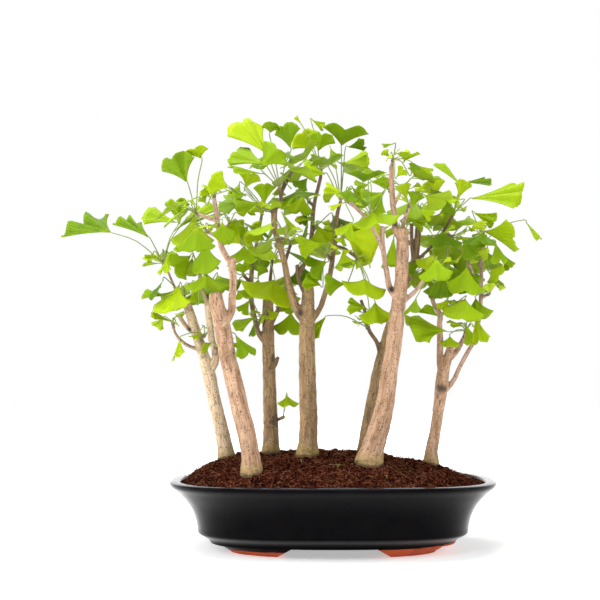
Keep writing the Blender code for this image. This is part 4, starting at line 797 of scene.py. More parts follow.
def leafed(trees, room):
    """Places every leaf of every spray, those of the rows first, and enters all in the room they take."""
    for tree in trees:
        for points, radii, sides in tree.limbs:
            room.add(tree.name, *tube(points, [radius + GAP for radius in radii], sides))
        for spray in tree.sprays:
            room.add(spray.name, *hub_shape(spray, GAP))
    sprays = [spray for tree in trees for spray in tree.sprays]
    for i, spray in enumerate(sprays):
        for k, leaf in enumerate(spray.leaves):
            place_drawn_leaf(room, spray, leaf, 100 * i + k)
    for i, spray in enumerate(sprays):
        draw = random.Random(RULED_DRAWS + i)
        rule = HIGH_RULE if spray.hub.z > HIGH_LEAVES else LOW_RULE
        for k in range(spray.more):
            place_by_rule(room, spray, rule, in_the_crown, draw, 100 * i + RULED_SEEDS + k)


def hub_shape(spray, extra=0.0):
    """The small green bud that a spur's leaves grow from."""
    half = spray.out * HUB_LENGTH / 2
    radii = [HUB_RADIUS * 0.9 + extra, HUB_RADIUS * 0.6 + extra]
    return tube([spray.hub - half, spray.hub + half], radii, SPUR_SIDES)


def ring(half_length, half_depth, height, segments):
    """The corners of one oval ring of the tray, its ends sagging a little as the clay did in the kiln."""
    corners = []
    for k in range(segments):
        turn = math.tau * (k + 0.5) / segments
        cos, sin = math.cos(turn), math.sin(turn)
        x = half_length * math.copysign(abs(cos) ** (2 / PLAN_POWER), cos)
        y = half_depth * math.copysign(abs(sin) ** (2 / PLAN_POWER), sin)
        sag = END_SAG * (x / TRAY_HALF_LENGTH) ** 2 if height > FLOOR_UNDERSIDE else 0.0
        corners.append(Vector((x, y, height - sag)))
    return corners


def outside_profile():
    """The tray's outer wall, from its underside past the ridge and the flare to its lip and rim."""
    return ((0.0500, FLOOR_UNDERSIDE), (0.0470, 0.0175), (0.0360, 0.0235), (0.0335, 0.0265), (0.0335, 0.0330),
            (0.0300, 0.0470), (0.0230, 0.0605), (0.0095, 0.0755), (0.0010, 0.0822),
            (0.0, TRAY_HEIGHT - 0.0012), (0.0016, TRAY_HEIGHT))


def hollow_profile():
    """The tray's inner wall, from its floor to above its rim."""
    return ((0.0450, FLOOR_TOP), (0.0390, 0.0460), (0.0300, 0.0605), (RIM_WIDTH, 0.0790),
            (RIM_WIDTH, TRAY_HEIGHT + 0.004))


def arch(half_width, reach, turned):
    """The long cutter of one low arch, narrower at its top, along the depth or turned along the length."""
    corners = []
    for z in (-ARCH_TOP, ARCH_TOP):
        half = half_width - ARCH_SLOPE * z / ARCH_TOP
        corners += [Vector((x, y, z)) for y in (-reach, reach) for x in (-half, half)]
    if turned:
        corners = [Vector((-corner.y, corner.x, corner.z)) for corner in corners]
    return corners, [(0, 2, 3, 1), (4, 5, 7, 6), (0, 1, 5, 4), (2, 6, 7, 3), (0, 4, 6, 2), (1, 3, 7, 5)]


def arches():
    """The two low arches, front to back and side to side, that part the foot ring into four feet."""
    return arch(ARCH_HALF_LENGTH, TRAY_HALF_DEPTH, False), arch(ARCH_HALF_DEPTH, TRAY_HALF_LENGTH, True)


def drain(x):
    """The cutter of a round drain hole through the floor."""
    foot = Vector((x, 0.0, 0.0))
    return tube([foot, foot + UP * 2 * FLOOR_TOP], [DRAIN_RADIUS, DRAIN_RADIUS], DRAIN_SIDES)


def soil_height(x, y):
    """The height of the soil's surface: a mound with its front lower than its back."""
    across_x = x / (TRAY_HALF_LENGTH - RIM_WIDTH)
    across_y = y / (TRAY_HALF_DEPTH - RIM_WIDTH)
    out = min(1.0, (abs(across_x) ** PLAN_POWER + abs(across_y) ** PLAN_POWER) ** (1 / PLAN_POWER))
    rise = SOIL_CREST * (1 - out ** (SOIL_SHOULDER - SOIL_SHOULDER_LEFT * across_x))
    front = SOIL_FRONT_FALL * max(0.0, -across_y) * (1 - out ** 4)
    dip = SOIL_DIP * math.exp(-((x - SOIL_DIP_X) / SOIL_DIP_WIDTH) ** 2) * (1 - out ** 2)
    lumps = SOIL_LUMP * math.sin(SOIL_LUMPS_ALONG * x + 2) * math.cos(SOIL_LUMPS_DEEP * y + 1)
    sag = END_SAG * (x / TRAY_HALF_LENGTH) ** 2
    return SOIL_EDGE_HEIGHT + rise - front - dip + lumps * (1 - out ** 6) - sag


class Skin:
    """A mesh in the making: its corners, its faces and the marks that its finishes read."""

    def __init__(self):
        self.verts = []
        self.faces = []
        self.slots = []
        self.uvs = []
        self.marks = []

    def add(self, verts, faces, uvs, marks, slot):
        """Adds a shape, with one pair of UV coordinates and one mark of three numbers for each corner."""
        first = len(self.verts)
        self.verts += verts
        self.faces += [tuple(first + k for k in face) for face in faces]
        self.slots += [slot] * len(faces)
        self.uvs += uvs
        self.marks += marks

    def made(self, name, materials):
        """The finished object, its place in its mesh."""
        mesh = bpy.data.meshes.new(name)
        mesh.from_pydata([v + TRAY_CENTRE for v in self.verts], [], self.faces)
        layer = mesh.uv_layers.new(name="grain")
        corners = np.empty(len(mesh.loops), dtype=np.int32)
        mesh.loops.foreach_get("vertex_index", corners)
        layer.data.foreach_set("uv", np.array(self.uvs, dtype=np.float32)[corners].ravel())
        marks = mesh.attributes.new("marks", "FLOAT_VECTOR", "POINT")
        marks.data.foreach_set("vector", np.array(self.marks, dtype=np.float32).ravel())
        mesh.polygons.foreach_set("material_index", self.slots)
        mesh.shade_smooth()
        for material in materials:
            mesh.materials.append(material)
        return in_scene(name, mesh)


def curve_through(points, steps):
    """This many steps along the smooth curve through these points."""
    ends = [points[0] * 2 - points[1]] + list(points) + [points[-1] * 2 - points[-2]]
    curve = []
    spans = len(points) - 1
    for i in range(steps + 1):
        at = i / steps * spans
        k = min(int(at), spans - 1)
        t = at - k
        a, b, c, d = ends[k:k + 4]
        curve.append((b * 2 + (c - a) * t + (a * 2 - b * 5 + c * 4 - d) * t ** 2
                      + (b * 3 - a - c * 3 + d) * t ** 3) / 2)
    return curve


def blade_edge(length, seed):
    """The shape of a blade's edge as two functions of the share across it: its reach and its lift."""
    draw = random.Random(seed)
    notch = draw.uniform(*NOTCH)
    rise = draw.uniform(*WAVE)
    steps = BIG_EDGE_STEPS if length > BIG_LEAF else EDGE_STEPS
    uneven = [draw.uniform(-EDGE_UNEVEN, EDGE_UNEVEN) for _ in range(steps + 1)]
    waves = [(draw.uniform(0.012, 0.024), draw.uniform(7, 11), draw.uniform(0, math.tau)),
             (draw.uniform(0.005, 0.012), draw.uniform(17, 26), draw.uniform(0, math.tau))]
    cleft = draw.uniform(0.4, 1.0)

    def reach(share):
        at = (share + 1) * steps / 2
        k = min(int(at), steps - 1)
        t = (at - k) ** 2 * (3 - 2 * (at - k))
        far = LOBE_REACH - CORNER_FALL * share ** 2 + uneven[k] * (1 - t) + uneven[k + 1] * t
        far -= notch * (1 - NOTCH_SHARE) * max(0.0, 1 - abs(share) / 0.5)
        far -= notch * NOTCH_SHARE * cleft * math.exp(-(share / NOTCH_HALF_WIDTH) ** 2)
        return far + sum(size * math.sin(rate * share + phase) for size, rate, phase in waves)

    def lift(share):
        at = (share + 1) * steps / 2
        ripple = sum(size * math.cos(rate * share + phase) for size, rate, phase in waves)
        return rise * math.cos(math.pi * at) - CUP * share ** 2 + ripple

    return reach, lift


def tone_of(seed):
    """How light a leaf is: the leaves of the lists in the middle, the ruled ones deep, partly their own colour
    and partly painted shade, the young ones light.
    """
    number = seed % 100
    low, high = YOUNG_TONES if number >= YOUNG_SEEDS else RULED_SHADED_TONES if number >= RULED_SEEDS else DRAWN_TONES
    return random.Random(seed + 31).uniform(low, high)


def fine_blade(joint, axis, side, length, spread, seed, fine=True):
    """A waved and notched fan blade of true thickness: its corners, faces, UVs and marks."""
    reach, lift = blade_edge(length, seed)
    tone = tone_of(seed)
    normal = side.cross(axis)
    columns = ACROSS if fine else YOUNG_ACROSS
    rows = ALONG if fine else YOUNG_ALONG
    verts = []
    uvs = []
    marks = []
    for back in (0, 1):
        for i in range(rows + 1):
            v = (i / rows) ** 0.85
            for j in range(columns + 1):
                share = 2 * j / columns - 1
                turn = math.radians(spread) * share * (SIDE_HOLLOW + (1 - SIDE_HOLLOW) * v)
                out = axis * math.cos(turn) + side * math.sin(turn)
                point = joint + side * share * NECK_HALF_WIDTH * (1 - v) + out * reach(share) * length * v
                point += normal * lift(share) * length * v ** 1.35
                half = FINE_THICKNESS / 2 * (1 if v < 1 else 0.6)
                verts.append(point + normal * (half - 2 * half * back))
                uvs.append((turn * VEIN_TURN + seed % 7, v * length / VEIN_LENGTH))
                marks.append((tone, back, v))
    faces = []
    wide = columns + 1
    under = wide * (rows + 1)
    for i in range(rows):
        for j in range(columns):
            a = i * wide + j
            faces.append((a, a + wide, a + wide + 1, a + 1))
            faces.append((under + a, under + a + 1, under + a + wide + 1, under + a + wide))
    edge = list(range(wide))
    edge += [i * wide + columns for i in range(1, rows + 1)]
    edge += [rows * wide + j for j in range(columns - 1, -1, -1)]
    edge += [i * wide for i in range(rows - 1, 0, -1)]
    for a, b in zip(edge, edge[1:] + edge[:1]):
        faces.append((a, b, under + b, under + a))
    return verts, faces, uvs, marks


def fine_stalk(points, tone):
    """A leaf stalk: a little thicker at the bud and where it opens into the blade."""
    curve = curve_through(points, STALK_STEPS)
    shares = [i / STALK_STEPS for i in range(STALK_STEPS + 1)]
    radii = [STALK_RADIUS * (0.92 + 0.30 * (1 - t) ** 4 + 0.15 * t ** 6) for t in shares]
    verts, faces, places = round_tube(curve, radii, STALK_SIDES)
    marks = [(tone, 0.0, along / max(places[-1][1], 1e-6)) for _, along in places]
    return verts, faces, [(round_ * 2, along / VEIN_LENGTH) for round_, along in places], marks


def fine_bud(spray):
    """The scaly short shoot that a spur's leaves grow from."""
    half = HUB_LENGTH / 2
    profile = ((-1.25, 0.74), (-0.8, 1.0), (-0.62, 0.86), (-0.55, 1.02), (-0.3, 0.84), (-0.22, 0.98),
               (0.05, 0.78), (0.12, 0.88), (0.4, 0.62), (0.7, 0.44), (1.0, 0.12))
    points = [spray.hub + spray.out * half * at for at, _ in profile]
    verts, faces, places = round_tube(points, [HUB_RADIUS * 0.92 * r for _, r in profile], BUD_SIDES)
    marks = [(0.5, 0.0, along / (2 * half)) for _, along in places]
    return verts, faces, places, marks


def make_leaves(spray, materials):
    """One spray's leaves with their stalks and bud, in place of its plain solid."""
    skin = Skin()
    skin.add(*fine_bud(spray), 2)
    for count, (joint, axis, side, length, spread, seed) in enumerate(spray.placed):
        stalk = stalk_points(spray.hub, spray.out, joint + axis * 0.0008, axis)
        skin.add(*fine_stalk(stalk, tone_of(seed)), 1)
        skin.add(*fine_blade(joint, axis, side, length, spread, seed, fine=length > YOUNG_RULE["length"][1]), 0)
    piece = skin.made(f"leaves_{spray.name}", materials)
    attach(piece, "root")
    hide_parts(spray.name)
    return piece


class Limb:
    """A trunk, branch or spur as a smooth round limb at even steps."""

    def __init__(self, points, radii, trunk):
        length = sum((b - a).length for a, b in zip(points, points[1:]))
        steps = max(6, round(length / LIMB_STEP))
        self.points = curve_through(points, steps)
        self.radii = []
        self.along = []
        self.cut = radii[-1] > CUT_END_RADIUS
        gone = 0.0
        for i, point in enumerate(self.points):
            at = i / steps * (len(points) - 1)
            k = min(int(at), len(points) - 2)
            radius = radii[k] * (1 - at + k) + radii[k + 1] * (at - k)
            if trunk:
                above = max(0.0, point.z - soil_height(point.x, point.y))
                radius *= 1 + FOOT_FLARE * math.exp(-(above / FOOT_FLARE_HEIGHT) ** 2)
            self.radii.append(radius)
            gone += (point - self.points[max(i - 1, 0)]).length
            self.along.append(gone)

    def shape(self, sides):
        """The limb's closed tube with its last edge rounded."""
        points = list(self.points)
        radii = list(self.radii)
        ahead = (points[-1] - points[-2]).normalized()
        radii[-1] *= 0.97
        points.append(points[-1] + ahead * radii[-1] * 0.10)
        radii.append(radii[-1] * 0.72)
        verts, faces, _ = round_tube(points, radii, sides)
        return verts, faces


def remeshed(name, verts, faces, voxel):
    """One even skin round these overlapping closed tubes."""
    rough = plain_object(name, verts, faces)
    skin = rough.modifiers.new("Skin", "REMESH")
    skin.mode = "VOXEL"
    skin.voxel_size = voxel
    mesh = solved(rough)
    bpy.data.objects.remove(rough)
    return mesh


def smoothed(places, edges, rounds):
    """Corner places drawn towards their neighbours, and back out, this many times."""
    count = np.zeros(len(places))
    np.add.at(count, edges.ravel(), 1)
    for pull in (0.55, -0.50) * rounds:
        total = np.zeros_like(places)
        np.add.at(total, edges[:, 0], places[edges[:, 1]])
        np.add.at(total, edges[:, 1], places[edges[:, 0]])
        places = places + pull * (total / count[:, None] - places)
    return places


def bark_frames(limbs):
    """Points along every limb's centre line, each with its direction, its side and how far along it lies."""
    frames = []
    for number, limb in enumerate(limbs):
        side = across(limb.points[1] - limb.points[0])
        for i, point in enumerate(limb.points):
            before = limb.points[max(i - 1, 0)]
            after = limb.points[min(i + 1, len(limb.points) - 1)]
            ahead = (after - before).normalized()
            side = (side - ahead * side.dot(ahead)).normalized()
            frames.append((point, ahead, side, limb.along[i] + 0.37 * number, limb.radii[i]))
    return frames


def knot_places(tree):
    """The middle of each knot on the tree's front, its size and how dark it is."""
    found = []
    for place, size, dark in KNOTS.get(tree.name, ()):
        middle = nearest_on(tree.limbs, place)
        found.append((middle + TOWARDS_EYE * size * 0.8, size, dark))
    return found


def make_fine_wood(tree, bark):
    """One tree's wood with round limbs grown into each other, furrowed bark, knots and cut ends."""
    limbs = [Limb(points, radii, number == 0) for number, (points, radii, _) in enumerate(tree.limbs)]
    verts = []
    faces = []
    for limb in limbs:
        more, shapes = limb.shape(LIMB_SIDES)
        faces += [tuple(len(verts) + k for k in face) for face in shapes]
        verts += more
    mesh = remeshed(tree.name, verts, faces, BARK_VOXEL)
    count = len(mesh.vertices)
    places = np.empty(count * 3)
    mesh.vertices.foreach_get("co", places)
    edges = np.empty(len(mesh.edges) * 2, dtype=np.int32)
    mesh.edges.foreach_get("vertices", edges)
    places = smoothed(places.reshape(-1, 3), edges.reshape(-1, 2), SMOOTHING)
    mesh.vertices.foreach_set("co", places.ravel())
    mesh.update()
    frames = bark_frames(limbs)
    finder = KDTree(len(frames))
    for i, (point, *_) in enumerate(frames):
        finder.insert(point, i)
    finder.balance()
    knots = knot_places(tree)
    ends = [(limb.points[-1], (limb.points[-1] - limb.points[-2]).normalized(), limb.radii[-1])
            for limb in limbs if limb.cut]
    grain = []
    marks = []
    girths = []
    moved = []
    for vertex in mesh.vertices:
        place = vertex.co
        _, index, _ = finder.find(place)
        centre, ahead, side, along, radius = frames[index]
        off = place - centre
        local = Vector((off.dot(side), off.dot(ahead.cross(side)), along + off.dot(ahead)))
        rise = radius * sum(share * noise.noise(Vector((local.x * girdle, local.y * girdle, local.z * length)))
                            for girdle, length, share in BARK_RELIEF)
        dark = 0.0
        for middle, size, darkness in knots:
            near = math.exp(-((place - middle).length / size) ** 2)
            rise += KNOT_RISE * size * near * (1 - KNOT_DIP * near)
            dark = max(dark, darkness * near)
        cut = 0.0
        for end, way, end_radius in ends:
            past = (place - end).dot(way)
            if past > -0.0003 and (place - end).length < end_radius * 1.25:
                cut = 1.0
                rise = 0.0
        above = place.z - soil_height(place.x, place.y)
        stain = min(1.0, max(0.0, 1 - (above - 0.002) / STAIN_HEIGHT))
        moved.append(place + vertex.normal * rise)
        grain.append(local)
        marks.append((stain, dark, cut))
        girths.append(radius)
    coordinates = np.array([tuple(place + TRAY_CENTRE) for place in moved], dtype=np.float32)
    mesh.vertices.foreach_set("co", coordinates.ravel())
    for name, values in (("bark", grain), ("marks", marks)):
        layer = mesh.attributes.new(name, "FLOAT_VECTOR", "POINT")
        layer.data.foreach_set("vector", np.array([tuple(value) for value in values], dtype=np.float32).ravel())
    mesh.attributes.new("girth", "FLOAT", "POINT").data.foreach_set("value", girths)
    mesh.shade_smooth()
    mesh.materials.clear()
    mesh.materials.append(bark)
    piece = in_scene(f"wood_{tree.name}", mesh)
    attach(piece, "root")
    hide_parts(f"{tree.name}_wood")
    return piece


def rounded(profile, times):
    """A profile with its corners cut this many times, its two ends kept."""
    for _ in range(times):
        finer = [profile[0]]
        for (a, b), (c, d) in zip(profile, profile[1:]):
            finer.append((a * 0.75 + c * 0.25, b * 0.75 + d * 0.25))
            finer.append((a * 0.25 + c * 0.75, b * 0.25 + d * 0.75))
        finer.append(profile[-1])
        profile = finer
    return profile


def oval_shape(rings):
    """The closed skin through these rings, its first and last ring closed by a face."""
    return [corner for corners in rings for corner in corners], skin_faces(len(rings), len(rings[0]))


def tray_ring(inset, z):
    """One fine ring of the tray's wall."""
    return ring(TRAY_HALF_LENGTH - inset, TRAY_HALF_DEPTH - inset, z, FINE_AROUND)


def in_scene(name, data):
    """An object with this data, in the scene."""
    made = bpy.data.objects.new(name, data)
    bpy.context.scene.collection.objects.link(made)
    return made


def plain_object(name, verts, faces):
    """An object of a mesh with these corners and faces, in the scene."""
    mesh = bpy.data.meshes.new(name)
    mesh.from_pydata(verts, [], faces)
    return in_scene(name, mesh)


def solved(body):
    """A body's mesh with its modifiers worked out."""
    return bpy.data.meshes.new_from_object(body.evaluated_get(bpy.context.evaluated_depsgraph_get()))


def combined(body, operation, other):
    """Joins another body on, or takes it out, and removes it."""
    change = body.modifiers.new("Change", "BOOLEAN")
    change.operation = operation
    change.object = other
    result = solved(body)
    body.modifiers.clear()
    body.data = result
    bpy.data.objects.remove(other)


def fine_feet():
    """The foot ring with its arches cut, its lower edges rounded by a bevel."""
    levels = [(0.0030, 0.0), (0.0008, 0.0004), (0.0, 0.0020), (-0.004, 0.0045),
              (-0.015, FLOOR_UNDERSIDE + 0.004)]
    outer = oval_shape([fine_foot_level(inset, z) for inset, z in levels])
    inner = oval_shape([fine_foot_level(FOOT_WIDTH, -0.002), fine_foot_level(FOOT_WIDTH + 0.002, 0.02)])
    feet = plain_object("feet", *outer)
    for shape in (inner, *arches()):
        combined(feet, "DIFFERENCE", plain_object("carving", *shape))
    return feet


def fine_foot_level(inset, z):
    """One fine ring of the band of clay under the tray."""
    half_length = TRAY_HALF_LENGTH - FOOT_INSET_LENGTH - inset
    half_depth = TRAY_HALF_DEPTH - FOOT_INSET_DEPTH - inset
    return ring(half_length, half_depth, z, FINE_AROUND)


def make_fine_tray(glaze):
    """The tray with its wall, lip and rim rounded, its feet and its drain holes."""
    outside = rounded(outside_profile(), 2)
    inside = rounded([(RIM_WIDTH - 0.0016, TRAY_HEIGHT), (RIM_WIDTH, TRAY_HEIGHT - 0.0016),
                      *reversed(hollow_profile()[:-1])], 1)
    tray = plain_object("fine_tray", *oval_shape([tray_ring(inset, z) for inset, z in outside + inside]))
    combined(tray, "UNION", fine_feet())
    for x in (-DRAIN_OFFSET, DRAIN_OFFSET):
        combined(tray, "DIFFERENCE", plain_object("carving", *drain(x)))
    tray.data.transform(Matrix.Translation(TRAY_CENTRE))
    tray.data.shade_smooth()
    tray.data.set_sharp_from_angle(angle=math.radians(38))
    tray.data.materials.clear()
    tray.data.materials.append(glaze)
    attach(tray, "root")
    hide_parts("tray")
    return tray


def ground(x, y):
    """The soil's surface with its fine unevenness."""
    coarse = noise.noise(Vector((x * 55, y * 55, 3.1)))
    fine = noise.noise(Vector((x * 190, y * 190, 7.7)))
    return soil_height(x, y) + SOIL_ROUGHNESS * (coarse + 0.6 * fine)


def soil_top_rings():
    """The rings of the soil's surface, from its edge to near its middle."""
    rings = []
    edge = RIM_WIDTH + SOIL_CLEARANCE
    for i in range(SOIL_STEPS):
        share = 1 - i / SOIL_STEPS
        corners = ring((TRAY_HALF_LENGTH - edge) * share, (TRAY_HALF_DEPTH - edge) * share, 0.0, SOIL_AROUND)
        rings.append([Vector((p.x, p.y, ground(p.x, p.y))) for p in corners])
    return rings


def make_fine_soil(earth):
    """The mound of soil, down to the tray's floor."""
    rings = []
    for inset, z in hollow_profile()[:-2]:
        inset += SOIL_CLEARANCE
        rings.append(ring(TRAY_HALF_LENGTH - inset, TRAY_HALF_DEPTH - inset, z + SOIL_CLEARANCE, SOIL_AROUND))
    soil = plain_object("fine_soil", *oval_shape(rings + soil_top_rings()))
    soil.data.transform(Matrix.Translation(TRAY_CENTRE))
    soil.data.shade_smooth()
    soil.data.materials.append(earth)
    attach(soil, "root")
    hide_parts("soil")
    return soil


def add_young_leaves(trees, room, limits):
    """The small young leaves round every bud that isn't close to the soil, inside the part's limits."""
    low, high = limits

    def in_the_limits(joint, axis, side, length, spread):
        reach = length * LOBE_REACH
        return not any(joint[k] - reach < low[k] or joint[k] + reach > high[k] for k in range(3))

    for i, spray in enumerate(spray for tree in trees for spray in tree.sprays):
        draw = random.Random(YOUNG_DRAWS + i)
        if spray.hub.z > BARE_BELOW:
            for k in range(YOUNG_LEAVES):
                place_by_rule(room, spray, YOUNG_RULE, in_the_limits, draw, 100 * i + YOUNG_SEEDS + k)


def on_soil(column, row):
    """The place on the soil that the front view shows at a column and row."""
    depth = -TRAY_HALF_DEPTH
    point = seen((column, row), depth)
    while point.z > ground(point.x, point.y) and depth < TRAY_HALF_DEPTH:
        depth += 0.002
        point = seen((column, row), depth)
    return Vector((point.x, point.y, ground(point.x, point.y)))


def make_roots(bark):
    """The thin roots that loop out of the soil."""
    skin = Skin()
    for (column, row), half_width, height, radius in ROOTS:
        middle = on_soil(column, row)
        reach = half_width * GRID_STEP
        points = []
        for k in range(9):
            turn = math.pi * k / 8
            x = middle.x - reach * math.cos(turn)
            y = middle.y + ROOT_WANDER * math.sin(3 * turn)
            lift = height * GRID_STEP * math.sin(turn)
            points.append(Vector((x, y, ground(x, y) - radius * ROOT_SINK + lift)))
        curve = curve_through(points, 32)
        verts, faces, places = round_tube(curve, [radius * (0.9 + 0.2 * math.sin(k)) for k in range(33)], 8)
        skin.add(verts, faces, places, [(0.3, 0.0, 0.0)] * len(verts), 0)
    piece = skin.made("surface_roots", [bark])
    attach(piece, "root")


def make_sprouts(materials):
    """The tiny green sprouts on the soil: a thin stem with a pair of round leaves."""
    skin = Skin()
    draw = random.Random(77)
    for column, row, height in SPROUTS:
        foot = on_soil(column, row)
        top = foot + Vector((draw.uniform(-0.002, 0.002), draw.uniform(-0.002, 0.002), height))
        points = [foot - UP * 0.002, foot.lerp(top, 0.5) + Vector((0.0006, 0, 0)), top]
        verts, faces, places = round_tube(curve_through(points, 8), [0.0004] * 9, 6)
        skin.add(verts, faces, places, [(0.7, 0.0, 0.5)] * len(verts), 1)
        for k in range(3):
            heading = math.tau * (k / 3 + draw.random() / 4)
            axis = Vector((math.cos(heading), math.sin(heading), 0.35)).normalized()
            leaf = fine_blade(top, axis, across(axis), height * 0.7, 42, RULED_SEEDS + k, fine=False)
            skin.add(*leaf, 0)
    piece = skin.made("soil_sprouts", materials)
    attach(piece, "root")


# Node trees


def feed(tree, socket, value):
    """Links a socket to another node's output, or sets it to a value."""
    if isinstance(value, bpy.types.NodeSocket):
        tree.links.new(value, socket)
    else:
        socket.default_value = value


def node(tree, kind, settings, inputs):
    """Adds a node with these settings, its inputs fed by their names or numbers."""
    made = tree.nodes.new(kind)
    for name, value in settings.items():
        setattr(made, name, value)
    for name, value in inputs.items():
        feed(tree, made.inputs[name], value)
    return made


def cloud(tree, place, scale, detail=4.0, roughness=0.55, distortion=0.0):
    """A soft noise from 0 to 1 at this place."""
    return node(tree, "ShaderNodeTexNoise", {}, {
        "Vector": place, "Scale": scale, "Detail": detail, "Roughness": roughness,
        "Distortion": distortion}).outputs["Fac"]


def span(tree, value, low, high, to_low=0.0, to_high=1.0):
    """The value's part between two limits, drawn out over another span and kept inside it."""
    return node(tree, "ShaderNodeMapRange", {"clamp": True}, {
        "Value": value, "From Min": low, "From Max": high, "To Min": to_low,
        "To Max": to_high}).outputs["Result"]


def sum_of(tree, operation, first, second, third=0.5):
    """Two or three numbers joined by a Math node."""
    return node(tree, "ShaderNodeMath", {"operation": operation}, {0: first, 1: second, 2: third}).outputs[0]


def times(tree, first, second):
    return sum_of(tree, "MULTIPLY", first, second)


def heaped(tree, *parts):
    """The sum of these values, each times its share."""
    total = 0.0
    for value, share in parts:
        total = sum_of(tree, "MULTIPLY_ADD", value, share, total)
    return total


def layered(tree, colour, *layers):
    """A colour with others laid over it.

    Each layer is a colour, the value it follows, the limits where it is absent and full, and its share there.
    """
    for added, value, low, high, most in layers:
        pair = {slot: each if isinstance(each, bpy.types.NodeSocket) else (*each, 1.0)
                for slot, each in ((6, colour), (7, added))}
        share = span(tree, value, low, high, 0.0, most)
        colour = node(tree, "ShaderNodeMix", {"data_type": "RGBA"}, {0: share, **pair}).outputs[2]
    return colour


def stretched(tree, place, scale):
    """A place drawn out by another scale along each axis."""
    return node(tree, "ShaderNodeMapping", {}, {"Vector": place, "Scale": scale}).outputs["Vector"]


def parts_of(tree, vector):
    """The three parts of a vector."""
    return node(tree, "ShaderNodeSeparateXYZ", {}, {"Vector": vector}).outputs


def read(tree, name, kind="Vector"):
    """What a mesh carries under this name."""
    return node(tree, "ShaderNodeAttribute", {"attribute_name": name}, {}).outputs[kind]


def new_group(name, inputs, outputs):
    """An empty node group with inputs of these names and kinds and these outputs, and both their nodes."""
    group = bpy.data.node_groups.new(name, "ShaderNodeTree")
    for label, kind in inputs.items():
        group.interface.new_socket(name=label, in_out="INPUT", socket_type="NodeSocket" + kind)
    for label in outputs:
        kind = "NodeSocketColor" if label == "Color" else "NodeSocketFloat"
        group.interface.new_socket(name=label, in_out="OUTPUT", socket_type=kind)
    return group, group.nodes.new("NodeGroupInput").outputs, group.nodes.new("NodeGroupOutput").inputs


def closed(group, result, made):
    """The group with its outputs fed."""
    for label, value in made.items():
        group.links.new(value, result[label])
    return group


def placed(tree, group, **inputs):
    """The outputs of a group placed in a tree with its own values."""
    named = {label.replace("_", " "): value for label, value in inputs.items()}
    return node(tree, "ShaderNodeGroup", {"node_tree": group}, named).outputs


def mottle_group():
    """Soft patches, fine grain and scattered specks, for every finish."""
    group, given, result = new_group("mottle", {"Place": "Vector", "Patches": "Float", "Grain": "Float",
                                                "Size": "Float"}, ("Patches", "Grain", "Specks"))
    place = given["Place"]
    dots = node(group, "ShaderNodeTexVoronoi", {}, {"Vector": place, "Scale": given["Grain"]}).outputs
    specks = sum_of(group, "LESS_THAN", dots["Distance"], given["Size"])
    chosen = sum_of(group, "GREATER_THAN", parts_of(group, dots["Color"])[0], 0.72)
    return closed(group, result, {
        "Patches": span(group, cloud(group, place, given["Patches"], 3.0, 0.6, 0.3), 0.3, 0.7),
        "Grain": cloud(group, place, given["Grain"], 5.0, 0.65),
        "Specks": times(group, specks, chosen)})


def pore_group():
    """Scattered dark pores, each cell of this scale holding one or none."""
    group, given, result = new_group("pores", {"Place": "Vector", "Scale": "Vector"}, ("Pore",))
    spaced = node(group, "ShaderNodeVectorMath", {"operation": "MULTIPLY"}, {
        0: given["Place"], 1: given["Scale"]})
    cells = node(group, "ShaderNodeTexVoronoi", {"feature": "SMOOTH_F1"}, {
        "Vector": spaced.outputs["Vector"], "Scale": 1.0, "Smoothness": 0.2}).outputs
    picked = span(group, parts_of(group, cells["Color"])[0], 0.48, 0.54)
    return closed(group, result, {"Pore": times(group, span(group, cells["Distance"], 0.34, 0.16), picked)})


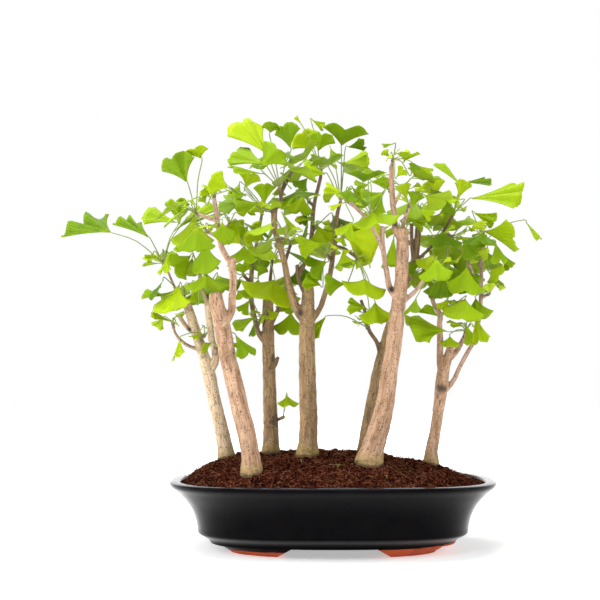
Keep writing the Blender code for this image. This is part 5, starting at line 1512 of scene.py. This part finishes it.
def bark_group(mottle):
    """Young ginkgo bark: fine cracks along the limb, dark lenticels across it, stained feet and sawn tops."""
    group, given, result = new_group("ginkgo_bark", {
        "Place": "Vector", "Marks": "Vector", "Girth": "Float", "Light": "Color", "Middle": "Color",
        "Dark": "Color", "Twig": "Color"}, ("Color", "Roughness", "Height"))
    place, light, middle, dark = (given[label] for label in ("Place", "Light", "Middle", "Dark"))
    stain, knot, sawn = parts_of(group, given["Marks"])
    mixed = placed(group, mottle, Place=place, Patches=70.0, Grain=900.0, Size=0.25)
    cracks = cloud(group, stretched(group, place, (620, 620, 70)), 1.0, 5.0, 0.65, 0.6)
    plates = cloud(group, stretched(group, place, (170, 170, 34)), 1.0, 4.0, 0.6, 0.4)
    bands = cloud(group, stretched(group, place, (90, 90, 420)), 1.0, 3.0, 0.6)
    pores = pore_group()
    pore = placed(group, pores, Place=place, Scale=(250, 250, 430))["Pore"]
    dash = placed(group, pores, Place=place, Scale=(520, 520, 190))["Pore"]
    broken = times(group, stain, span(group, mixed["Patches"], 0.0, 0.8, 0.55, 1.0))
    moss = times(group, stain, span(group, cracks, 0.50, 0.62))
    ridges = times(group, stain, span(group, bands, 0.46, 0.38))
    knot = times(group, knot, span(group, mixed["Grain"], 0.3, 0.7, 0.7, 1.0))
    wood = layered(group, (0.16, 0.09, 0.045), ((0.34, 0.22, 0.12), cracks, 0.3, 0.7, 1.0))
    colour = layered(
        group, middle,
        (light, plates, 0.36, 0.62, 1.0),
        (middle, mixed["Patches"], 0.2, 1.0, 0.35),
        (light, bands, 0.62, 0.75, 0.35),
        (given["Twig"], given["Girth"], 0.0036, 0.0018, 0.85),
        (dark, cracks, 0.46, 0.33, 0.85),
        (dark, dash, 0.0, 1.0, 0.65),
        (dark, pore, 0.0, 1.0, 0.95),
        ((0.34, 0.235, 0.055), broken, 0.0, 1.0, 0.85),
        ((0.13, 0.125, 0.020), moss, 0.0, 1.0, 0.7),
        (dark, ridges, 0.0, 1.0, 0.8),
        ((0.050, 0.025, 0.012), stain, 0.86, 1.0, 0.8),
        ((0.020, 0.010, 0.006), knot, 0.15, 0.75, 1.0),
        (wood, sawn, 0.0, 1.0, 1.0))
    return closed(group, result, {
        "Color": colour,
        "Roughness": span(group, mixed["Grain"], 0.2, 0.8, 0.62, 0.86),
        "Height": heaped(group, (span(group, cracks, 0.25, 0.60), 0.6), (plates, 0.5), (pore, -0.40),
                         (dash, -0.25), (mixed["Grain"], 0.18))})


def begun(name, mottle, patches, grain, size):
    """A new material, its tree, the place in it and its mottling, of patches, grain and specks of this size."""
    made = bpy.data.materials.new(name)
    made.use_nodes = True
    tree = made.node_tree
    place = tree.nodes.new("ShaderNodeTexCoord").outputs["Object"]
    return made, tree, place, placed(tree, mottle, Place=place, Patches=patches, Grain=grain, Size=size)


def finished(made, colour, roughness, relief=(), more=None):
    """Feeds a material's shader: colour, roughness, its relief's height, strength and depth, and more."""
    tree = made.node_tree
    inputs = {"Base Color": colour, "Roughness": roughness, **(more or {})}
    if relief:
        bump = node(tree, "ShaderNodeBump", {}, dict(zip(("Height", "Strength", "Distance"), relief)))
        inputs["Normal"] = bump.outputs["Normal"]
    for name, value in inputs.items():
        feed(tree, tree.nodes["Principled BSDF"].inputs[name], value)
    return made


def bark_finish(name, group, light, middle, dark, twig):
    made = bpy.data.materials.new(name)
    made.use_nodes = True
    tree = made.node_tree
    bark = placed(tree, group, Place=read(tree, "bark"), Marks=read(tree, "marks"),
                  Girth=read(tree, "girth", "Fac"), Light=(*light, 1), Middle=(*middle, 1), Dark=(*dark, 1),
                  Twig=(*twig, 1))
    return finished(made, bark["Color"], bark["Roughness"], (bark["Height"], 0.75, 0.0009))


def root_finish(mottle):
    made, tree, _, mixed = begun("root_bark", mottle, 260.0, 1500.0, 0.3)
    colour = layered(tree, (0.11, 0.055, 0.028), ((0.26, 0.15, 0.075), mixed["Patches"], 0.0, 1.0, 1.0))
    return finished(made, colour, span(tree, mixed["Grain"], 0.2, 0.8, 0.6, 0.9), (mixed["Grain"], 0.6, 0.0004))


def blade_finish(mottle):
    """A leaf blade: a fan of fine veins, each leaf with its own green, and paler underneath."""
    made, tree, _, mixed = begun("ginkgo_leaf", mottle, 75.0, 1300.0, 0.16)
    fan = node(tree, "ShaderNodeUVMap", {"uv_map": "grain"}, {}).outputs["UV"]
    tone, back, out = parts_of(tree, read(tree, "marks"))
    lines = cloud(tree, stretched(tree, fan, (17.0, 0.55, 1.0)), 1.0, 2.0, 0.5)
    fine = cloud(tree, stretched(tree, fan, (44.0, 0.9, 1.0)), 1.0, 2.0, 0.5)
    vein = sum_of(tree, "MAXIMUM", span(tree, lines, 0.50, 0.66), span(tree, fine, 0.52, 0.70, 0.0, 0.6))
    green = layered(
        tree, (0.028, 0.098, 0.001),
        ((0.205, 0.325, 0.001), tone, 0.0, 0.45, 1.0),
        ((0.45, 0.56, 0.005), tone, 0.45, 1.0, 1.0),
        ((0.19, 0.31, 0.001), mixed["Patches"], 0.0, 1.0, 0.30),
        ((0.40, 0.46, 0.01), out, 0.30, 0.0, 0.40),
        ((0.36, 0.46, 0.005), out, 0.93, 1.0, 0.15),
        ((0.44, 0.53, 0.03), vein, 0.0, 1.0, 0.25),
        ((0.06, 0.14, 0.001), fine, 0.46, 0.34, 0.30),
        ((0.36, 0.48, 0.03), back, 0.0, 1.0, 0.40))
    return finished(made, green, span(tree, mixed["Grain"], 0.25, 0.75, 0.40, 0.58),
                    (heaped(tree, (lines, 1.0), (fine, 0.4)), 0.55, 0.00045), {"Specular IOR Level": 0.08})


def stalk_finish(mottle):
    made, tree, _, mixed = begun("leaf_stalk", mottle, 120.0, 1600.0, 0.18)
    tone, _, along = parts_of(tree, read(tree, "marks"))
    colour = layered(
        tree, (0.13, 0.21, 0.03),
        ((0.30, 0.37, 0.06), tone, 0.0, 1.0, 1.0),
        ((0.42, 0.36, 0.16), along, 0.35, 0.0, 0.7),
        ((0.20, 0.30, 0.06), mixed["Patches"], 0.3, 1.0, 0.4))
    rough = span(tree, mixed["Grain"], 0.2, 0.8, 0.38, 0.55)
    return finished(made, colour, rough, (mixed["Grain"], 0.3, 0.0002), {
        "Subsurface Weight": 0.2, "Subsurface Radius": (1.0, 1.0, 0.4), "Subsurface Scale": 0.0008})


def bud_finish(mottle):
    made, tree, _, mixed = begun("short_shoot", mottle, 420.0, 1800.0, 0.3)
    along = parts_of(tree, read(tree, "marks"))[2]
    rings = sum_of(tree, "SINE", heaped(tree, (along, 34.0), (mixed["Patches"], 2.5)), 0.0)
    colour = layered(
        tree, (0.10, 0.055, 0.028),
        ((0.24, 0.15, 0.07), mixed["Patches"], 0.0, 1.0, 1.0),
        ((0.32, 0.24, 0.12), rings, -0.4, 0.9, 0.6),
        ((0.26, 0.34, 0.07), along, 0.72, 1.0, 1.0))
    return finished(made, colour, span(tree, mixed["Grain"], 0.2, 0.8, 0.6, 0.85), (rings, 0.5, 0.0003))


def soil_finish(name, mottle, colours, grain):
    """Dark fibrous soil in four colours, the first near black as painted shade in the low places of its grain,
    and in soft patches.
    """
    made, tree, place, mixed = begun(name, mottle, 95.0, grain, 0.28)
    spots = node(tree, "ShaderNodeTexVoronoi", {}, {"Vector": place, "Scale": 420.0})
    spot = parts_of(tree, spots.outputs["Color"])
    colour = layered(
        tree, colours[0],
        # the next colour covers only the grain's high places, leaving the near-black painted shade in its low
        # ones
        (colours[1], mixed["Grain"], 0.35, 0.62, 1.0),
        (colours[2], spot[0], 0.60, 0.75, 0.8),
        (colours[3], spot[1], 0.86, 0.92, 0.8),
        (colours[0], mixed["Patches"], 0.4, 0.9, 0.70),
        (colours[3], mixed["Specks"], 0.0, 1.0, 0.5))
    rough = span(tree, mixed["Grain"], 0.2, 0.8, 0.72, 0.98)
    return finished(made, colour, rough, (mixed["Grain"], 0.8, 0.0012), {"Specular IOR Level": 0.0})


def fibre_finish(name, mottle, colours):
    """A thin fibre in three colours, from the painted shade of its dark patches to its palest."""
    made, tree, place, mixed = begun(name, mottle, 180.0, 1400.0, 0.2)
    shade_patches = placed(tree, mottle, Place=place, Patches=85.0, Grain=1400.0, Size=0.2)
    colour = layered(
        tree, colours[0],
        (colours[1], mixed["Patches"], 0.0, 1.0, 1.0),
        (colours[2], mixed["Grain"], 0.5, 0.8, 0.7),
        # dark patches: painted shade
        (colours[0], shade_patches["Patches"], 0.45, 0.75, 0.8))
    rough = span(tree, mixed["Grain"], 0.2, 0.8, 0.6, 0.9)
    return finished(made, colour, rough, (mixed["Grain"], 0.4, 0.0002), {"Specular IOR Level": 0.0})


def glaze_finish(mottle):
    """The tray's glaze over red clay: nearly black, with a painted reflection as a lighter band along its lip,
    and bare under its feet.
    """
    made, tree, place, mixed = begun("dark_glaze", mottle, 38.0, 520.0, 0.13)
    pits = placed(tree, mottle, Place=place, Patches=16.0, Grain=210.0, Size=0.10)
    x, _, z = parts_of(tree, place)
    wander = heaped(tree, (z, 1.0), (mixed["Grain"], 0.0016))
    off_lip = sum_of(tree, "ABSOLUTE", sum_of(tree, "SUBTRACT", wander, LIP_HEIGHT), 0.0)
    line = sum_of(tree, "MULTIPLY_ADD", x, CLAY_LINE_RISE, CLAY_LINE)
    line = sum_of(tree, "MULTIPLY_ADD", mixed["Patches"], 0.0022, line)
    clay = layered(
        tree, (0.36, 0.054, 0.020),
        ((0.54, 0.120, 0.052), mixed["Grain"], 0.0, 1.0, 1.0),
        ((0.14, 0.040, 0.022), mixed["Patches"], 0.4, 1.0, 0.5))
    bare = span(tree, sum_of(tree, "SUBTRACT", line, z), -0.0004, 0.0004)
    colour = layered(
        tree, (0.0012, 0.0013, 0.0022),
        ((0.0032, 0.0026, 0.0028), mixed["Patches"], 0.0, 1.0, 1.0),
        # a lighter grey band along the lip: painted reflection
        ((0.022, 0.020, 0.028), off_lip, 0.0014, 0.0004, 0.5),
        ((0.070, 0.050, 0.036), mixed["Specks"], 0.0, 1.0, 0.35),
        ((0.002, 0.002, 0.003), pits["Specks"], 0.0, 1.0, 0.55),
        (clay, bare, 0.0, 1.0, 1.0))
    gloss = span(tree, mixed["Grain"], 0.2, 0.8, 0.10, 0.22)
    facing = node(tree, "ShaderNodeLayerWeight", {}, {"Blend": 0.5}).outputs["Facing"]
    coat = span(tree, sum_of(tree, "POWER", facing, 2.2), 0.02, 1.0, 0.0, 0.85)
    height = heaped(tree, (mixed["Grain"], 0.16), (mixed["Patches"], 1.4), (pits["Specks"], -0.5))
    return finished(made, colour, sum_of(tree, "MULTIPLY_ADD", bare, 0.66, gloss), (height, 0.22, 0.0008), {
        "Specular IOR Level": 0.02, "Coat Roughness": 0.12,
        "Coat Weight": times(tree, coat, span(tree, z, *GLOSS_HEIGHTS, 0.12, 1.0))})


def floor_finish(mottle):
    made, tree, place, mixed = begun("pale_floor", mottle, 3.0, 90.0, 0.1)
    colour = layered(tree, (0.93, 0.93, 0.93), ((0.90, 0.90, 0.90), mixed["Patches"], 0.0, 1.0, 0.5))
    away = node(tree, "ShaderNodeVectorMath", {"operation": "LENGTH"}, {"Vector": place})
    glow = span(tree, away.outputs["Value"], NEAR_FLOOR, FAR_FLOOR, FLOOR_GLOW, 1.0)
    return finished(made, colour, span(tree, mixed["Grain"], 0.2, 0.8, 0.75, 0.85), (),
                    {"Emission Color": (1.0, 1.0, 1.0, 1.0), "Emission Strength": glow})


# The soil's scatter


def scatter_group(name, thing):
    """A node tree that strews small things over the tops of a mesh's faces.

    The function thing adds the nodes of one thing to the tree and gives its geometry.
    """
    group = bpy.data.node_groups.new(name, "GeometryNodeTree")
    for label, kind, way in (("Geometry", "Geometry", "INPUT"), ("Density", "Float", "INPUT"),
                             ("Size", "Float", "INPUT"), ("Seed", "Int", "INPUT"),
                             ("Finish", "Material", "INPUT"), ("Geometry", "Geometry", "OUTPUT")):
        group.interface.new_socket(name=label, in_out=way, socket_type="NodeSocket" + kind)
    given = group.nodes.new("NodeGroupInput").outputs
    normal = group.nodes.new("GeometryNodeInputNormal").outputs["Normal"]
    upward = node(group, "FunctionNodeCompare", {"data_type": "FLOAT", "operation": "GREATER_THAN"},
                  {"A": parts_of(group, normal)[2], "B": 0.35})
    points = node(group, "GeometryNodeDistributePointsOnFaces", {}, {
        "Mesh": given["Geometry"], "Selection": upward.outputs["Result"], "Density": given["Density"],
        "Seed": given["Seed"]}).outputs
    sizes = node(group, "FunctionNodeRandomValue", {"data_type": "FLOAT"}, {
        2: 0.35, 3: 1.0, "Seed": given["Seed"]})
    turns = node(group, "FunctionNodeRandomValue", {"data_type": "FLOAT_VECTOR"}, {
        0: (-0.55, -0.55, -math.pi), 1: (0.55, 0.55, math.pi)})
    turned = node(group, "FunctionNodeRotateEuler", {"rotation_type": "EULER", "space": "LOCAL"}, {
        "Rotation": points["Rotation"], "Rotate By": turns.outputs[0]})
    strewn = node(group, "GeometryNodeInstanceOnPoints", {}, {
        "Points": points["Points"], "Instance": thing(group), "Rotation": turned.outputs["Rotation"],
        "Scale": times(group, sum_of(group, "POWER", sizes.outputs[1], 2.0), given["Size"])})
    real = node(group, "GeometryNodeRealizeInstances", {}, {"Geometry": strewn.outputs["Instances"]})
    finish = node(group, "GeometryNodeSetMaterial", {}, {"Geometry": real.outputs["Geometry"],
                                                         "Material": given["Finish"]})
    group.links.new(finish.outputs["Geometry"], group.nodes.new("NodeGroupOutput").inputs["Geometry"])
    return group


def crumb(group, fineness=1, bends=1.7):
    """One rough crumb, a little flat and sunk to half its height."""
    ball = node(group, "GeometryNodeMeshIcoSphere", {}, {"Radius": 1.0, "Subdivisions": fineness})
    bent = node(group, "ShaderNodeTexNoise", {}, {"Scale": bends, "Detail": 3.0})
    shift = node(group, "ShaderNodeVectorMath", {"operation": "SUBTRACT"}, {
        0: bent.outputs["Color"], 1: (0.5, 0.5, 0.5)})
    rough = node(group, "GeometryNodeSetPosition", {}, {"Geometry": ball.outputs["Mesh"],
                                                        "Offset": shift.outputs["Vector"]})
    return node(group, "GeometryNodeTransform", {}, {"Geometry": rough.outputs["Geometry"],
                                                     "Scale": (1.0, 1.25, 0.7)}).outputs["Geometry"]


def clump(group):
    """One lump of soil, rougher than a crumb."""
    return crumb(group, 3, 2.6)


def fibre(group, steps=6, length=FIBRE_LENGTH, middle=(0.05, 0.22, 0.16)):
    """One short curled fibre that lies along the soil."""
    line = node(group, "GeometryNodeCurveQuadraticBezier", {}, {
        "Resolution": steps, "Start": (-0.5, 0.0, 0.02), "Middle": middle, "End": (0.5, -0.06, 0.0)})
    round_ = node(group, "GeometryNodeCurvePrimitiveCircle", {}, {
        "Resolution": 3, "Radius": FIBRE_RADIUS / length})
    return node(group, "GeometryNodeCurveToMesh", {}, {
        "Curve": line.outputs["Curve"], "Profile Curve": round_.outputs["Curve"],
        "Fill Caps": True}).outputs["Mesh"]


def strand(group):
    """One long fibre that curls up from the soil and back."""
    return fibre(group, 12, STRAND_LENGTH, (0.15, 0.55, 0.34))


def strew(soil, name, group, density, size, seed, finish):
    """A plain mesh of the things strewn over the soil by a node tree."""
    carrier = in_scene(name, soil.data.copy())
    scatter = carrier.modifiers.new("Scatter", "NODES")
    scatter.node_group = group
    wanted = {"Density": density, "Size": size, "Seed": seed, "Finish": finish}
    for socket in group.interface.items_tree:
        if socket.in_out == "INPUT" and socket.name in wanted:
            scatter[socket.identifier] = wanted[socket.name]
    result = solved(carrier)
    carrier.modifiers.remove(scatter)
    carrier.data = result
    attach(carrier, "root")
    return carrier


# The room: floor, lights and camera


def room_strength(tree):
    """How bright the white room is: as seen straight, as mirrored from the back or the front, and as light."""
    ray = tree.nodes.new("ShaderNodeLightPath").outputs
    depth = parts_of(tree, tree.nodes.new("ShaderNodeTexCoord").outputs["Generated"])[1]
    strength = ROOM_LIGHT
    for kind, seen_as in (("Is Glossy Ray", span(tree, depth, -0.2, 0.5, FRONT_SHINE, BACKDROP_SHINE)),
                          ("Is Camera Ray", 1.0)):
        mix = node(tree, "ShaderNodeMix", {"data_type": "FLOAT"}, {0: ray[kind], 2: strength, 3: seen_as})
        strength = mix.outputs[0]
    return strength


def set_stage(floor_look):
    corners = ((-1, -1), (1, -1), (1, 1), (-1, 1))
    floor = plain_object("floor", [Vector((x * FLOOR_HALF, y * FLOOR_HALF, -0.0002)) for x, y in corners],
                         [(0, 1, 2, 3)])
    floor.data.materials.append(floor_look)
    world = bpy.data.worlds.new("white_room")
    bpy.context.scene.world = world
    world.use_nodes = True
    background = world.node_tree.nodes["Background"]
    background.inputs["Color"].default_value = (1.0, 1.0, 1.0, 1.0)
    world.node_tree.links.new(room_strength(world.node_tree), background.inputs["Strength"])
    for name, place, size, power in LIGHTS:
        light = bpy.data.lights.new(name, "AREA")
        light.shape = "RECTANGLE"
        light.size, light.size_y = size
        light.energy = power
        lamp = in_scene(name, light)
        lamp.location = place
        lamp.rotation_euler = (Vector((0.0, 0.0, 0.2)) - Vector(place)).to_track_quat("-Z", "Y").to_euler()
    camera = in_scene("camera", bpy.data.cameras.new("camera"))
    camera.data.lens = LENS
    camera.data.sensor_width = 36.0
    camera.location = Vector((EYE_X, -EYE_DISTANCE, EYE_Z)) + TRAY_CENTRE
    camera.rotation_euler = (math.radians(90 + TILT_UP), 0.0, 0.0)
    bpy.context.scene.camera = camera
    bpy.context.scene.view_settings.view_transform = "Standard"


def main():
    cad_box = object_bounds()
    trees = [Tree(number, *plan) for number, plan in enumerate(PLANTING, 1)]
    room = Room()
    leafed(trees, room)
    add_young_leaves(trees, room, [corner - TRAY_CENTRE for corner in cad_box])
    mottle = mottle_group()
    bark = bark_group(mottle)
    barks = {name: bark_finish(name, bark, *colours) for name, colours in BARKS.items()}
    green = [blade_finish(mottle), stalk_finish(mottle), bud_finish(mottle)]
    for tree in trees:
        make_fine_wood(tree, barks[BARK_OF[tree.name]])
        for spray in tree.sprays:
            make_leaves(spray, green)
    make_fine_tray(glaze_finish(mottle))
    soil = make_fine_soil(soil_finish("fibrous_soil", mottle, SOIL_COLOURS, 260.0))
    crumbly = soil_finish("soil_crumb", mottle, CRUMB_COLOURS, 900.0)
    strew(soil, "soil_clumps", scatter_group("strewn_clumps", clump), CLUMPS, CLUMP_RADIUS, 5, crumbly)
    strew(soil, "soil_crumbs", scatter_group("strewn_crumbs", crumb), CRUMBS, CRUMB_RADIUS, 3, crumbly)
    strew(soil, "soil_fibres", scatter_group("strewn_fibres", fibre), FIBRES, FIBRE_LENGTH, 8,
          fibre_finish("coir_fibre", mottle, FIBRE_COLOURS))
    strew(soil, "soil_strands", scatter_group("strewn_strands", strand), STRANDS, STRAND_LENGTH, 9,
          fibre_finish("pale_strand", mottle, STRAND_COLOURS))
    make_roots(root_finish(mottle))
    make_sprouts(green)
    set_stage(floor_finish(mottle))


main()
